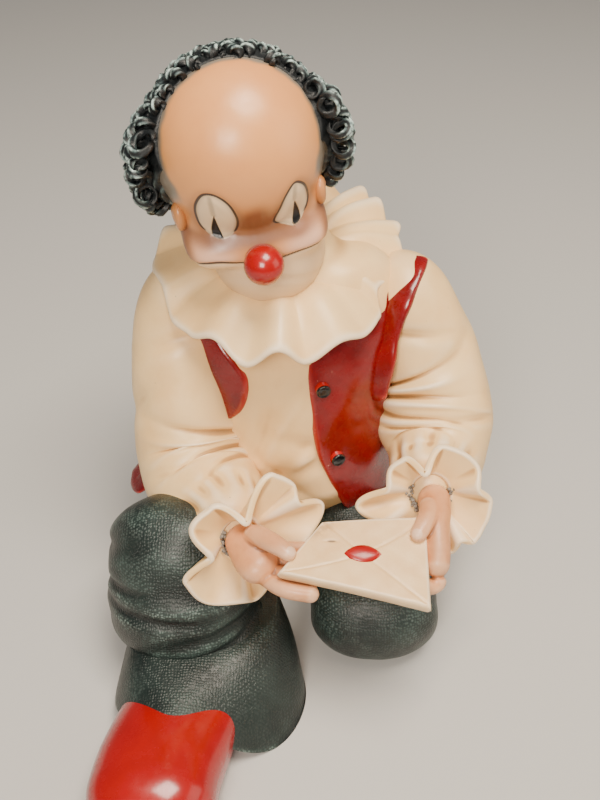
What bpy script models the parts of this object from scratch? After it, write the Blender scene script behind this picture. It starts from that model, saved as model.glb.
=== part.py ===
"""Kneeling clown figurine in painted cast resin, holding a sealed letter.

Two castings: the figure, and the hands with the letter, whose wrists plug into the cuffs.
Front is -Y, +X is the clown's left side, +Z is up, and the ground is at Z = 0.
The origin is on the ground under the middle of the figure's bounding box.
The pose and the carving are drawn in figure units from a point under the chest. The figure is
UNITS_TALL of them tall, so that one unit is a millimetre at the real height. Walls and fits are
real sizes in metres.
"""

import math

import bmesh
import bpy
import numpy as np
from mathutils import Vector
from mathutils.bvhtree import BVHTree

# Overall size
FIGURE_HEIGHT = 0.1652
UNITS_TALL = 165.2
UNIT = FIGURE_HEIGHT / UNITS_TALL

# Where the drawing's zero point lies from the origin, in figure units
DRAWING_SHIFT = (-5.8, 35.1, 0.0)

# Walls, small parts and fits, in metres
COLLAR_THICKNESS = 0.0020
CUFF_THICKNESS = 0.0018
WAISTCOAT_THICKNESS = 0.0012
NOSE_RADIUS = 0.0051
BUTTON_RADIUS = 0.0021
BUTTON_HEIGHT = 0.0014
LETTER_THICKNESS = 0.0026
LETTER_FRONT_THICKNESS = 0.0036
SEAL_WIDTH = 0.0098
WRIST_RADIUS = 0.0052
SOCKET_DEPTH = 0.0060
FIT_GAP = 0.0004

# How much larger than the hands their seat in the cuffs is cut
SEAT_MARGIN = FIT_GAP + 0.0001

# Modelling fineness
FIGURE_VOXEL = 0.00075
HANDS_VOXEL = 0.00040
FIGURE_TRIANGLES = 7550
HANDS_TRIANGLES = 1340
SEAT_SHARE = 0.12
SLIVER = 0.00003

# Head: skull centre, and its turn to the clown's left, nod and tilt in degrees
SKULL_CENTRE = (-10.7, 0.6, 140.4)
SKULL_RADIUS = 22.0
HEAD_TURN = 10.5
HEAD_NOD = 19.0
HEAD_TILT = 6.5

# Paints: sRGB colour, roughness
PAINTS = {
    "skin": ((0.86, 0.66, 0.50), 0.32),
    "cream": ((0.93, 0.85, 0.72), 0.45),
    "red": ((0.72, 0.05, 0.04), 0.25),
    "green": ((0.22, 0.30, 0.27), 0.60),
    "hair": ((0.16, 0.19, 0.20), 0.60),
}


def in_units(metres):
    """A real length in metres as figure units."""
    return metres / UNIT


def placed(points):
    """Points of the drawing in the part's frame, in metres."""
    return (np.asarray(points, float) + DRAWING_SHIFT) * UNIT


def unit_vector(vector):
    """The vector at length one."""
    vector = np.asarray(vector, float)
    return vector / np.linalg.norm(vector)


def turned(vectors, axis, degrees):
    """Vectors turned about an axis through the origin, by the right-hand rule."""
    axis = unit_vector(axis)
    vectors = np.asarray(vectors, float)
    cosine = math.cos(math.radians(degrees))
    sine = math.sin(math.radians(degrees))
    along = (vectors @ axis)[..., None] * axis
    return vectors * cosine + np.cross(axis, vectors) * sine + along * (1 - cosine)


def smooth_rows(rows, count):
    """Catmull-Rom interpolation of each column of rows, at count even steps."""
    rows = np.asarray(rows, float)
    padded = np.vstack([2 * rows[0] - rows[1], rows, 2 * rows[-1] - rows[-2]])
    position = np.linspace(0, len(rows) - 1, count)
    index = np.minimum(position.astype(int), len(rows) - 2)
    t = (position - index)[:, None]
    before, start, end, after = (padded[index + k] for k in range(4))
    return 0.5 * (
        2 * start
        + (end - before) * t
        + (2 * before - 5 * start + 4 * end - after) * t**2
        + (3 * start - before - 3 * end + after) * t**3
    )


def fold_relief(folds, along, around):
    """Height of cloth folds in figure units. A fold is a soft ridge, or a groove if its height
    is negative: (place along 0..1, place around in degrees, length along, spread around in
    degrees, height, slant), with the slant in share of length for each 90 degrees around."""
    relief = np.zeros(np.broadcast(along, around).shape)
    for place, angle, length, spread, height, slant in folds:
        turn = (around - math.radians(angle) + math.pi) % (2 * math.pi) - math.pi
        lengthways = (along - place - slant * turn / (math.pi / 2)) / length
        sideways = turn / math.radians(spread)
        relief = relief + height * np.exp(-(lengthways**2) - sideways**2)
    return relief


def limb(rows, across, along_count, round_count, folds=(), round_ends=(1.0, 1.0), squareness=2.0):
    """A closed loft through rows of (x, y, z, half width, half height).

    The half width lies along the across direction. round_ends says how much of the end's own
    width each end is rounded over. Returns points and quads."""
    dense = smooth_rows(rows, 240)
    steps = np.linalg.norm(np.diff(dense[:, :3], axis=0), axis=1)
    length = np.concatenate([[0], np.cumsum(steps)])
    first = max(round_ends[0] * dense[0, 3] / length[-1], 1e-4)
    last = max(round_ends[1] * dense[-1, 3] / length[-1], 1e-4)
    share = 0.5 - 0.5 * np.cos(np.linspace(0, math.pi, along_count))
    share = 0.35 * share + 0.65 * np.linspace(0, 1, along_count)
    path = np.column_stack([np.interp(share, length / length[-1], c) for c in dense.T])
    centre = path[:, :3]
    tangent = np.gradient(centre, axis=0)
    tangent /= np.linalg.norm(tangent, axis=1)[:, None]
    side = np.asarray(across, float) - (tangent @ np.asarray(across, float))[:, None] * tangent
    side /= np.linalg.norm(side, axis=1)[:, None]
    other = np.cross(tangent, side)
    start_rise = np.sqrt(1 - (1 - np.clip(share / first, 0, 1)) ** 2)
    end_rise = np.sqrt(1 - (1 - np.clip((1 - share) / last, 0, 1)) ** 2)
    taper = (start_rise * end_rise)[:, None]
    angle = np.linspace(0, 2 * math.pi, round_count, endpoint=False)[None, :]
    cosine = np.sign(np.cos(angle)) * np.abs(np.cos(angle)) ** (2 / squareness)
    sine = np.sign(np.sin(angle)) * np.abs(np.sin(angle)) ** (2 / squareness)
    relief = fold_relief(folds, share[:, None], angle)
    wide = (path[:, 3:4] + relief) * taper
    high = (path[:, 4:5] + relief) * taper
    ring = centre[:, None] + side[:, None] * (wide * cosine)[..., None]
    ring = ring + other[:, None] * (high * sine)[..., None]
    return closed_grid(ring)


def closed_grid(ring):
    """Points and faces of a grid that is closed round its second direction and capped at both
    ends of its first by a point."""
    rows, columns = ring.shape[:2]
    points = [ring[0].mean(axis=0), *ring[1:-1].reshape(-1, 3), ring[-1].mean(axis=0)]
    last = len(points) - 1
    faces = []
    for column in range(columns):
        beside = (column + 1) % columns
        faces.append((0, 1 + beside, 1 + column))
        for row in range(rows - 3):
            low, high = 1 + row * columns, 1 + (row + 1) * columns
            faces.append((low + column, low + beside, high + beside, high + column))
        low = 1 + (rows - 3) * columns
        faces.append((low + column, low + beside, last))
    return np.array(points), faces


def shell(outer, inner, closed_round=False):
    """Points and faces of a thin closed wall between two grids of the same size."""
    rows, columns = outer.shape[:2]
    points = np.concatenate([outer.reshape(-1, 3), inner.reshape(-1, 3)])
    back = rows * columns
    faces = []
    for row in range(rows - 1):
        for column in range(columns if closed_round else columns - 1):
            beside = (column + 1) % columns
            a, b = row * columns + column, row * columns + beside
            c, d = (row + 1) * columns + beside, (row + 1) * columns + column
            faces.append((a, b, c, d))
            faces.append((back + a, back + d, back + c, back + b))
    for column in range(columns if closed_round else columns - 1):
        beside = (column + 1) % columns
        low = (rows - 1) * columns
        faces.append((back + column, back + beside, beside, column))
        faces.append((low + column, low + beside, back + low + beside, back + low + column))
    if not closed_round:
        for row in range(rows - 1):
            a, b = row * columns, (row + 1) * columns
            faces.append((a, b, back + b, back + a))
            c, d = a + columns - 1, b + columns - 1
            faces.append((d, c, back + c, back + d))
    return points, faces


def ball(centre, radii, axes=((1, 0, 0), (0, 1, 0), (0, 0, 1)), rings=14, columns=20):
    """Points and faces of an ellipsoid with its radii along the given axes."""
    polar = np.linspace(0, math.pi, rings)[:, None]
    angle = np.linspace(0, 2 * math.pi, columns, endpoint=False)[None, :]
    local = np.stack(
        [np.sin(polar) * np.cos(angle), np.sin(polar) * np.sin(angle), -np.cos(polar) + 0 * angle],
        axis=-1,
    )
    return closed_grid(np.asarray(centre, float) + (local * radii) @ np.asarray(axes, float))


def head_axes():
    """The head's right, front and up directions."""
    right, front, up = np.eye(3)[0], -np.eye(3)[1], np.eye(3)[2]
    right, up = (turned(v, front, HEAD_TILT) for v in (right, up))
    front, up = (turned(v, right, HEAD_NOD) for v in (front, up))
    return np.array([turned(v, (0, 0, 1), HEAD_TURN) for v in (right, front, up)])


def head_point(right, front, up):
    """A point given in the head's own directions from the skull's centre."""
    return np.asarray(SKULL_CENTRE) + np.stack([right, front, up], axis=-1) @ head_axes()


# Soft lumps of the head, in the head's own directions: centre, then radii, right, front and up,
# and the power of the outline seen from above: 2 is an ellipse, and 4 is a squarer muzzle
HEAD_CORE = (0.0, 3.0, -5.0)
HEAD_LUMPS = (
    ((0.0, 0.0, 0.0), (SKULL_RADIUS, SKULL_RADIUS + 0.5, SKULL_RADIUS), 2.0),
    ((0.2, 11.0, -15.2), (18.9, 14.6, 7.4), 4.0),
    ((3.2, 13.0, -26.0), (15.5, 15.8, 15.0), 2.0),
    ((9.5, 9.5, -10.5), (8.5, 9.0, 8.0), 2.0),
    ((-9.0, 9.5, -10.5), (8.5, 9.0, 8.0), 2.0),
)
HEAD_BLEND = 2.2

# Ears: place of one, and its radii, both to the right, to the front and up
EAR_PLACE = (19.6, 12.3, -9.2)
EAR_RADII = (2.4, 3.6, 4.6)


def head_field(points):
    """Smoothly joined distance to the head's lumps, negative inside."""
    total = 0.0
    for centre, radii, power in HEAD_LUMPS:
        offset = np.abs((points - centre) / radii)
        flat = (offset[..., 0] ** power + offset[..., 1] ** power) ** (1 / power)
        scaled = np.hypot(flat, offset[..., 2])
        plain = np.linalg.norm(offset, axis=-1)
        steep = np.linalg.norm((points - centre) / np.square(radii), axis=-1)
        distance = plain * (scaled - 1) / np.maximum(steep, 1e-6)
        total = total + np.exp(-distance / HEAD_BLEND * 2)
    return -np.log(total) * HEAD_BLEND / 2


def star_surface(field, core, directions, reach):
    """Where a field turns from inside to outside along each direction from a core point."""
    low = np.zeros(directions.shape[:-1])
    high = np.full(directions.shape[:-1], float(reach))
    for _ in range(22):
        middle = (low + high) / 2
        inside = field(np.asarray(core) + directions * middle[..., None]) < 0
        low, high = np.where(inside, middle, low), np.where(inside, high, middle)
    return np.asarray(core) + directions * low[..., None]


def head(rings=44, columns=56):
    """The bald head with its muzzle and jaw."""
    polar = np.linspace(0, math.pi, rings)[:, None]
    angle = np.linspace(0, 2 * math.pi, columns, endpoint=False)[None, :]
    directions = np.stack(
        [np.sin(polar) * np.cos(angle), -np.cos(polar) + 0 * angle, -np.sin(polar) * np.sin(angle)],
        axis=-1,
    )
    local = star_surface(head_field, HEAD_CORE, directions, 60)
    return closed_grid(head_point(local[..., 0], local[..., 1], local[..., 2]))


def ears():
    """Two small ears low beside the eyes, with the hair behind them."""
    return [
        ball(head_point(side * EAR_PLACE[0], *EAR_PLACE[1:]), EAR_RADII, head_axes(), 8, 10)
        for side in (-1, 1)
    ]


def nose():
    """The round red nose."""
    radius = in_units(NOSE_RADIUS)
    return ball(head_point(0.0, 29.5, -13.0), (radius, radius, radius))


# Hair: rows by angle from the middle of the bald top, and how far round the head each goes
HAIR_ROWS = (
    (70, 100),
    (80, 105),
    (90, 117),
    (100.5, 125),
    (111, 127),
    (122, 124),
    (133, 118),
    (144, 110),
    (155, 98),
    (166, 85),
)
HAIR_TOP = 66.0
HAIR_FOOT = 165.0
CURL_SPACING = 6.4
CURL_REACH_CROWN = 3.2
CURL_REACH_SIDES = 8.4
CURL_REACH_NAPE = 6.8
CURL_SHOULDER = 0.6
CURL_HALF_SPAN = 2.7
CURL_WIRE = 2.0
HAIR_BASE_SHARE = 0.62
BALD_AXIS_RISE = 43.7


def hair_direction(polar, turn):
    """A direction in the head's own terms: polar degrees from the middle of the bald top, and
    turn degrees round it, 0 at the back and positive to the right."""
    rise = math.radians(BALD_AXIS_RISE)
    top = np.array([0, math.cos(rise), math.sin(rise)])
    back = np.array([0, -math.sin(rise), math.cos(rise)])
    side = np.array([1.0, 0, 0])
    polar, turn = np.radians(polar), np.radians(turn)
    flat = np.multiply.outer(np.cos(turn), back) + np.multiply.outer(np.sin(turn), side)
    return top * np.cos(polar)[..., None] + flat * np.sin(polar)[..., None]


def eased(value, start, end):
    """A smooth step from 0 at start to 1 at end."""
    share = np.clip((np.asarray(value, float) - start) / (end - start), 0, 1)
    return share * share * (3 - 2 * share)


def curl_reach(polar, turn):
    """How far the curls stand out from the skull: least at the crown, most over the ears."""
    side = eased(np.abs(turn), 50, 88)
    low = eased(polar, 112, 148)
    back = CURL_REACH_CROWN + (CURL_REACH_NAPE - CURL_REACH_CROWN) * low
    return (back + (CURL_REACH_SIDES - back) * side) * (1 - 0.25 * eased(polar, 148, 165))


def hair_base():
    """The mass of hair under the curls, a thick wall round the sides and back of the skull."""
    polars = np.linspace(HAIR_TOP, HAIR_FOOT, 18)[:, None]
    ends = np.interp(polars, *np.array(HAIR_ROWS, float).T)
    turns = np.linspace(-1, 1, 44)[None, :] * ends
    grid = hair_direction(polars + 0 * turns, turns)
    lift = np.sin(np.linspace(0.15, math.pi - 0.15, len(polars)))[:, None]
    thickness = HAIR_BASE_SHARE * curl_reach(polars, turns) * np.minimum(1.6 * lift, 1)
    outer = grid * (SKULL_RADIUS + thickness)[..., None]
    inner = grid * (SKULL_RADIUS - 3.0)
    world = [head_point(g[..., 0], g[..., 1], g[..., 2]) for g in (outer, inner)]
    return shell(world[0], world[1])


def curl_places():
    """Seats of the curls: direction, and the turn of each hoop, from the rows above."""
    places = []
    for number, (polar, reach) in enumerate(HAIR_ROWS):
        around = 2 * math.radians(reach) * SKULL_RADIUS * math.sin(math.radians(polar))
        count = max(2, round(around / CURL_SPACING))
        for k in range(count):
            wander = math.sin(12.9898 * (k + 1) + 78.233 * (number + 1))
            turn = -reach + 2 * reach * (k + 0.5 + 0.22 * wander) / count
            places.append((polar + 2.5 * wander, turn, 90 * wander + 47 * k))
    return places


def curl(polar, turn, spin):
    """One lock: a hoop that stands out from the head, with both feet in the hair base."""
    out = hair_direction(np.array(polar), np.array(turn))
    level = unit_vector(np.cross(out, (0.3, 0.4, 0.87)))
    level = turned(level, out, spin)
    half = CURL_HALF_SPAN
    top = curl_reach(polar, turn) - CURL_WIRE
    hoop = (
        (-half, 0.0),
        (-half * 0.95, top * CURL_SHOULDER),
        (0, top),
        (half * 0.95, top * CURL_SHOULDER),
        (half, 0.0),
    )
    rows = []
    for sideways, outwards in hoop:
        spot = out * (SKULL_RADIUS + outwards) + level * sideways
        rows.append([*head_point(*spot), CURL_WIRE, CURL_WIRE])
    across = out @ head_axes()
    return limb(rows, np.cross(level @ head_axes(), across), 12, 8)


# Torso rows: x, y, z, half width, half depth
TORSO_ROWS = (
    (6, 3, 20, 24, 20),
    (6, 0, 33, 28, 26),
    (5, -1, 45, 28.5, 27),
    (4, -1, 58, 28.5, 24.5),
    (3, 0, 70, 30, 22),
    (2, 1.5, 82, 32, 20),
    (1.5, 3, 92, 34, 17.5),
    (1, 4, 100, 30, 15),
    (0, 4, 106, 18, 13),
    (-1, 4, 114, 12, 11.5),
    (-3, 4, 122, 11, 11),
)
TORSO_FOLDS = (
    (0.30, 250, 0.05, 30, -1.0, 0.10),
    (0.38, 295, 0.05, 26, -0.9, -0.12),
    (0.22, 280, 0.06, 40, 0.8, 0.05),
)


def torso():
    """Shirt body and neck."""
    return limb(TORSO_ROWS, (1, 0, 0), 60, 48, TORSO_FOLDS)


def torso_surface(height, angle, lift):
    """Points of the torso's skin raised by lift, at heights and angles in degrees, where 270 is
    the front and 0 is the clown's left side."""
    rows = smooth_rows(TORSO_ROWS, 300)
    order = np.argsort(rows[:, 2])
    x, y, wide, deep = (np.interp(height, rows[order, 2], rows[order, k]) for k in (0, 1, 3, 4))
    angle = np.radians(angle)
    return np.stack(
        [x + (wide + lift) * np.cos(angle), y + (deep + lift) * np.sin(angle), height + 0 * angle],
        axis=-1,
    )


# Waistcoat: its buttons and its two front edges as (height, angle), where 0 is the clown's
# left and 270 the front
BUTTONS = ((77, 286), (55.5, 293))
LEFT_EDGE = ((20, 305), (31, 298), (47, 288.5), (60, 281), (86, 278), (98, 281), (106, 290))
RIGHT_EDGE = ((24, 198), (47, 208), (60, 221), (69, 241), (78, 248), (84, 243), (91, 235), (106, 225))
WAISTCOAT_HEM = 25.0
WAISTCOAT_TOP = 104.0
HEM_FLARE = 5.0
TAIL_FLARE = 24.0
TAIL_ANGLE = 184.0
STRAP = (
    (27.0, -11.4, 80, 4.2, 1.3),
    (29.5, -9.2, 88.5, 4.0, 1.4),
    (32.8, -5.8, 97.5, 3.6, 1.4),
    (36.6, 0.5, 102.6, 3.2, 1.4),
    (38.3, 6.5, 103.4, 3.0, 1.2),
)
TAIL_FLAP = (
    (-22, 6, 46, 12, 1.8),
    (-32, 4, 38, 11, 1.5),
    (-41, 0, 30.5, 9, 1.2),
    (-50.5, -4, 22.5, 6, 0.9),
)
STRAP_ACROSS = (0.8, -0.6, 0.0)
TAIL_ACROSS = (0.1, 1.0, 0.2)


def waistcoat():
    """The open waistcoat: one wall from its left front edge round the back to its right one."""
    rows, columns = 34, 84
    height = np.linspace(WAISTCOAT_HEM, WAISTCOAT_TOP, rows)[:, None]
    left = np.interp(height, *np.array(LEFT_EDGE, float).T)
    right = np.interp(height, *np.array(RIGHT_EDGE, float).T)
    share = np.linspace(0, 1, columns)[None, :]
    angle = (left - 360) + share * (right + 360 - left)
    low = np.clip((46 - height) / (46 - WAISTCOAT_HEM), 0, 1) ** 1.6
    tail = np.exp(-(((angle - TAIL_ANGLE) / 20) ** 2))
    waves = 1 + 0.5 * np.sin(np.radians(angle * 7))
    flare = low * (HEM_FLARE * waves + TAIL_FLARE * tail)
    thickness = in_units(WAISTCOAT_THICKNESS)
    outer = torso_surface(height + 0 * angle, angle, thickness + flare)
    inner = torso_surface(height + 0 * angle, angle, flare - 0.9)
    return shell(inner, outer)


def straps():
    """The waistcoat's shoulder strap beside the collar, and the flap of its tail at the hip."""
    return [
        limb(STRAP, STRAP_ACROSS, 16, 14, round_ends=(0.6, 0.4), squareness=3.0),
        limb(TAIL_FLAP, TAIL_ACROSS, 16, 18, round_ends=(0.6, 0.5), squareness=3.0),
    ]


def buttons():
    """Two raised buttons down the left front."""
    found = []
    for height, angle in BUTTONS:
        seat = torso_surface(np.array(float(height)), np.array(float(angle)), 0.0)
        outer = torso_surface(np.array(float(height)), np.array(float(angle)), 1.0)
        out = unit_vector(outer - seat)
        reach = in_units(WAISTCOAT_THICKNESS + BUTTON_HEIGHT)
        radius = in_units(BUTTON_RADIUS)
        rows = [[*(seat + out * (step * reach)), radius, radius] for step in (-0.8, 0.1, 1.0)]
        found.append(limb(rows, (0, 0, 1), 8, 14, round_ends=(0.3, 0.3)))
    return found


# Collar: a ruffled ring round the neck. Its edge goes by angle in degrees, where 0 is the clown's
# left and 270 the front: reach from the neck's middle, and how far the edge dips there
COLLAR_CENTRE = (0.0, 3.5, 105.0)
COLLAR_INNER = 9.0
COLLAR_SLOPE = 0.20
COLLAR_EDGE = (
    (8, 35.8, 2.6),
    (19, 35.3, -2.2),
    (25, 37.6, -3.0),
    (34, 37.4, 1.0),
    (42, 38.6, -4.0),
    (47, 38.0, -2.0),
    (52, 39.2, -4.2),
    (60, 37.6, 1.0),
    (71, 37.2, -3.8),
    (82, 36.6, 1.4),
    (94, 37.0, -3.6),
    (106, 36.4, 1.6),
    (118, 37.0, -3.4),
    (131, 36.8, 1.8),
    (143, 37.8, -2.6),
    (151, 37.6, 1.2),
    (158, 37.4, -3.0),
    (168, 37.8, 2.0),
    (196, 33.9, -2.4),
    (208, 33.9, 2.4),
    (220, 32.5, 2.4),
    (236, 31.7, -1.2),
    (253, 32.7, 3.0),
    (269, 32.0, -2.6),
    (282.5, 31.1, 3.0),
    (301, 31.2, -0.8),
    (319, 31.1, 2.4),
    (332, 30.6, 2.4),
    (340, 28.0, -2.6),
)


def edge_values(table, angle):
    """The columns of an edge table after its first, which is an angle in degrees, at angles in
    radians. Half a cosine wave joins each row to the next, and the last to the first."""
    table = np.asarray(table, float)
    places = np.append(table[:, 0], table[0, 0] + 360)
    values = np.vstack([table[:, 1:], table[:1, 1:]])
    turn = np.mod(np.degrees(angle) - places[0], 360) + places[0]
    index = np.clip(np.searchsorted(places, turn, side="right") - 1, 0, len(table) - 1)
    share = (turn - places[index]) / (places[index + 1] - places[index])
    blend = ((1 - np.cos(math.pi * share)) / 2)[..., None]
    return np.moveaxis(values[index] * (1 - blend) + values[index + 1] * blend, -1, 0)


def collar_surface(share, angle):
    """Middle surface of the collar: share 0 at the neck to 1 at the edge, angle in radians."""
    reach, dip = edge_values(COLLAR_EDGE, angle)
    radius = COLLAR_INNER + (reach - COLLAR_INNER) * share
    x = radius * np.cos(angle)
    y = radius * np.sin(angle)
    rise = 2.5 * np.sin(math.pi * share) - 5.0 * share**1.6
    z = rise + COLLAR_SLOPE * y - dip * share**1.3
    return np.asarray(COLLAR_CENTRE) + np.stack([x, y, z], axis=-1)


def ruffle_walls(surface, share, angle, thickness):
    """Two grids, half a thickness to each side of a ruffled surface."""
    middle = surface(share, angle)
    step = 1e-3
    along = surface(share + step, angle) - surface(share, angle)
    around = surface(share, angle + step) - surface(share, angle - step)
    normal = np.cross(along, around)
    normal /= np.linalg.norm(normal, axis=-1)[..., None]
    edge = np.sqrt(np.clip(1 - np.clip((share - 0.93) / 0.07, 0, 1) ** 2, 0.06, 1))[..., None]
    return middle + normal * edge * thickness / 2, middle - normal * edge * thickness / 2


def collar():
    """The ruffled collar."""
    share = np.append(np.linspace(0, 0.93, 12), [0.96, 0.985, 1.0])[:, None]
    angle = np.linspace(0, 2 * math.pi, 240, endpoint=False)[None, :]
    top, under = ruffle_walls(
        collar_surface, share + 0 * angle, angle + 0 * share, in_units(COLLAR_THICKNESS)
    )
    return shell(top, under, closed_round=True)


# Sleeves: x, y, z, half width, half height along the arm
RIGHT_ARM = (
    (-19, 4, 98, 11, 11),
    (-27, 3, 91, 13.5, 13.5),
    (-29, -1.5, 79, 15, 15),
    (-28, -8, 65, 16.5, 15.5),
    (-26.5, -15, 51, 17.5, 15.5),
    (-23, -26, 45.5, 16.8, 15),
    (-18, -36.5, 46.5, 14.3, 13.5),
    (-13.5, -46, 49.5, 10.5, 10.5),
    (-11, -51.5, 50.9, 8.5, 8.5),
)
LEFT_ARM = (
    (24, 5, 98, 11, 11),
    (34, 4.5, 92, 13, 13.3),
    (40.5, 1, 80, 14.5, 14),
    (44.5, -4, 69, 15.5, 15),
    (45, -12, 59, 17.5, 15),
    (45, -21, 54, 14.5, 13.5),
    (43, -30, 54, 12.5, 12),
    (41.5, -37, 56, 10, 10),
    (41, -41.5, 57.8, 8, 8),
)
RIGHT_ARM_FOLDS = (
    (0.42, 200, 0.035, 60, -1.3, 0.05),
    (0.50, 230, 0.03, 50, -1.1, -0.04),
    (0.60, 210, 0.03, 60, -1.2, 0.06),
    (0.70, 240, 0.03, 45, -1.0, -0.05),
    (0.30, 30, 0.04, 50, -1.0, 0.05),
)
LEFT_ARM_FOLDS = (
    (0.40, 140, 0.035, 60, -1.3, 0.05),
    (0.48, 170, 0.03, 50, -1.0, -0.04),
    (0.58, 120, 0.03, 60, -1.2, 0.06),
    (0.68, 100, 0.03, 45, -1.0, -0.05),
)


def sleeves():
    """Both puffed sleeves."""
    return [
        limb(RIGHT_ARM, (1, 0, 0), 64, 36, RIGHT_ARM_FOLDS),
        limb(LEFT_ARM, (1, 0, 0), 64, 36, LEFT_ARM_FOLDS),
    ]


# Cuffs: centre, the way the hand comes out, and the edge by angle in degrees, where 0 is the
# clown's left and 90 the ground side: reach from the centre, and how far the edge comes forward
CUFFS = (
    (
        (-11.5, -50.5, 50.6),
        (0.35, -0.82, 0.35),
        (
            (20, 17.5, 4.0),
            (45, 20.0, 1.0),
            (68, 14.0, 5.0),
            (90, 19.2, 1.5),
            (103, 17.6, 4.0),
            (135, 20.5, 1.0),
            (158, 19.6, 1.5),
            (178, 10.5, 5.5),
            (212, 15.8, 1.5),
            (240, 14.2, 1.5),
            (276, 6.8, 6.0),
            (306, 20.0, 1.0),
            (325, 20.5, 1.0),
            (337, 18.3, 3.5),
            (353, 24.6, 1.0),
        ),
    ),
    (
        (41.0, -40.5, 57.2),
        (-0.10, -0.80, 0.50),
        (
            (3, 16.8, 1.5),
            (24, 17.2, 1.5),
            (44, 18.0, 2.0),
            (52, 15.0, 4.5),
            (66, 17.6, 1.5),
            (90, 13.0, 5.0),
            (120, 19.0, 1.0),
            (142, 15.0, 4.5),
            (165, 21.0, 1.0),
            (186, 12.0, 4.5),
            (209, 13.4, 1.5),
            (228, 12.6, 1.5),
            (252, 6.8, 6.0),
            (280, 14.2, 1.5),
            (322, 15.2, 1.5),
            (346, 13.2, 4.0),
        ),
    ),
)
CUFF_INNER = 5.6
CUFF_FLARE = 2.0


def cuff_surface_of(centre, out, edge):
    """The middle surface of a ruffled cuff as a function of share and angle."""
    out = unit_vector(out)
    left = unit_vector(np.cross((0, 0, 1), out))
    down = np.cross(left, out)

    def surface(share, angle):
        reach, forward = edge_values(edge, angle)
        radius = CUFF_INNER + (reach - CUFF_INNER) * share
        depth = CUFF_FLARE * share**0.8 + forward * share**1.2
        flat = left * (radius * np.cos(angle))[..., None] + down * (radius * np.sin(angle))[..., None]
        return np.asarray(centre) + flat + out * depth[..., None]

    return surface


def cuffs():
    """Both ruffled cuffs."""
    share = np.append(np.linspace(0, 0.93, 10), [0.97, 1.0])[:, None]
    angle = np.linspace(0, 2 * math.pi, 144, endpoint=False)[None, :]
    found = []
    for cuff in CUFFS:
        top, under = ruffle_walls(
            cuff_surface_of(*cuff), share + 0 * angle, angle + 0 * share, in_units(CUFF_THICKNESS)
        )
        found.append(shell(top, under, closed_round=True))
    return found


# Trousers: x, y, z, half width, half height
RIGHT_THIGH = (
    (4, 12, 30, 17, 16),
    (-10, -6, 30, 18, 17),
    (-20, -22, 31, 19, 17.5),
    (-28, -40, 33, 19, 16.5),
    (-30, -54, 32, 16, 14),
)
RIGHT_SHIN = (
    (-27.5, -32, 49, 15, 13),
    (-28.5, -39, 42, 20.5, 19),
    (-28.8, -43.5, 31, 21.8, 21.5),
    (-28.8, -46.5, 21, 21.8, 21.5),
    (-28.2, -48, 13, 20.5, 20.5),
)
HEM_CENTRE = (-20.0, -66.0)
HEM_TOP_CENTRE = (-22.0, -48.0, 26.0)
HEM_TOP_REACH = 19.5
HEM_EDGE = (
    (0, 27.0, -1),
    (40, 25.0, -1),
    (90, 24.0, -1),
    (130, 25.5, -1),
    (170, 28.0, 0),
    (195, 28.5, 6),
    (220, 28.5, 14),
    (242, 27.5, 20),
    (262, 25.6, 19),
    (280, 24.0, 11),
    (300, 24.5, 2),
    (320, 26.5, -1),
)
HEM_LIP = 2.0
SHIN_ROLL = (
    (-47, -40, 18, 4, 4),
    (-44, -55, 17, 5, 5),
    (-27, -65, 16, 5.5, 5.5),
    (-12, -62, 17, 5, 5),
    (-6, -48, 18, 4, 4),
)
LEFT_THIGH = (
    (12, 12, 30, 18, 17),
    (20, -8, 23, 19, 15.5),
    (25, -26, 19, 19, 15.5),
    (27, -44, 14.5, 19, 15.5),
    (27, -61.5, 11, 19, 13.5),
)
LEFT_SHIN = (
    (27, -50, 14, 18, 15),
    (28, -28, 15, 18.5, 16.5),
    (29, 0, 15, 17, 15),
    (30, 16, 15, 17, 14.5),
    (31, 30, 16, 19, 15.5),
)
SEAT = (
    (-32, 6, 29, 12, 13),
    (-15, 9, 32, 18, 18),
    (6, 12, 33, 21, 20),
    (26, 10, 33, 18, 18),
    (38, 7, 30, 11, 13),
)


def hem_grid(rows, columns):
    """The bell-shaped hem from its gathered top down to its edge, as a grid of points."""
    angle = np.linspace(0, 2 * math.pi, columns, endpoint=False)
    table = np.array([*HEM_EDGE, (360, *HEM_EDGE[0][1:])], float)
    knots = np.radians(np.concatenate([table[-2:-1, 0] - 360, table[:, 0], table[1:2, 0] + 360]))
    values = np.concatenate([table[-2:-1], table, table[1:2]])[:, 1:]
    reach, height = (np.interp(angle, knots, values[:, k]) for k in (0, 1))
    reach, height = (
        sum(np.roll(v, k) * w for k, w in zip((-2, -1, 0, 1, 2), (0.1, 0.2, 0.4, 0.2, 0.1)))
        for v in (reach, height)
    )
    flat = np.stack([np.cos(angle), np.sin(angle)], axis=-1)
    edge = np.column_stack([np.asarray(HEM_CENTRE) + flat * reach[:, None], height])
    top = np.asarray(HEM_TOP_CENTRE)
    crown = np.column_stack([top[:2] + flat * HEM_TOP_REACH, np.full(columns, top[2])])
    share = np.linspace(0, 1, rows)[:, None, None]
    flare = share**0.7
    body = crown + (edge - crown) * np.concatenate([flare, flare, share**1.25], axis=-1)
    return np.concatenate([np.broadcast_to(top + (0, 0, 1.0), (1, columns, 3)), body])


def hem():
    """The hem as a solid with a lip turned under at its edge."""
    grid = hem_grid(14, 60)
    centre = np.array([*HEM_CENTRE, 0.0])
    inward = grid[-1] - centre
    inward[:, 2] = 0
    inward /= np.linalg.norm(inward, axis=1)[:, None]
    lip = grid[-1] - inward * HEM_LIP * 0.5 - (0, 0, 0.5)
    under = grid[-1] - inward * HEM_LIP
    middle = np.broadcast_to(under.mean(axis=0), under.shape)
    return closed_grid(np.concatenate([grid, [lip, under, middle]]))


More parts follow.
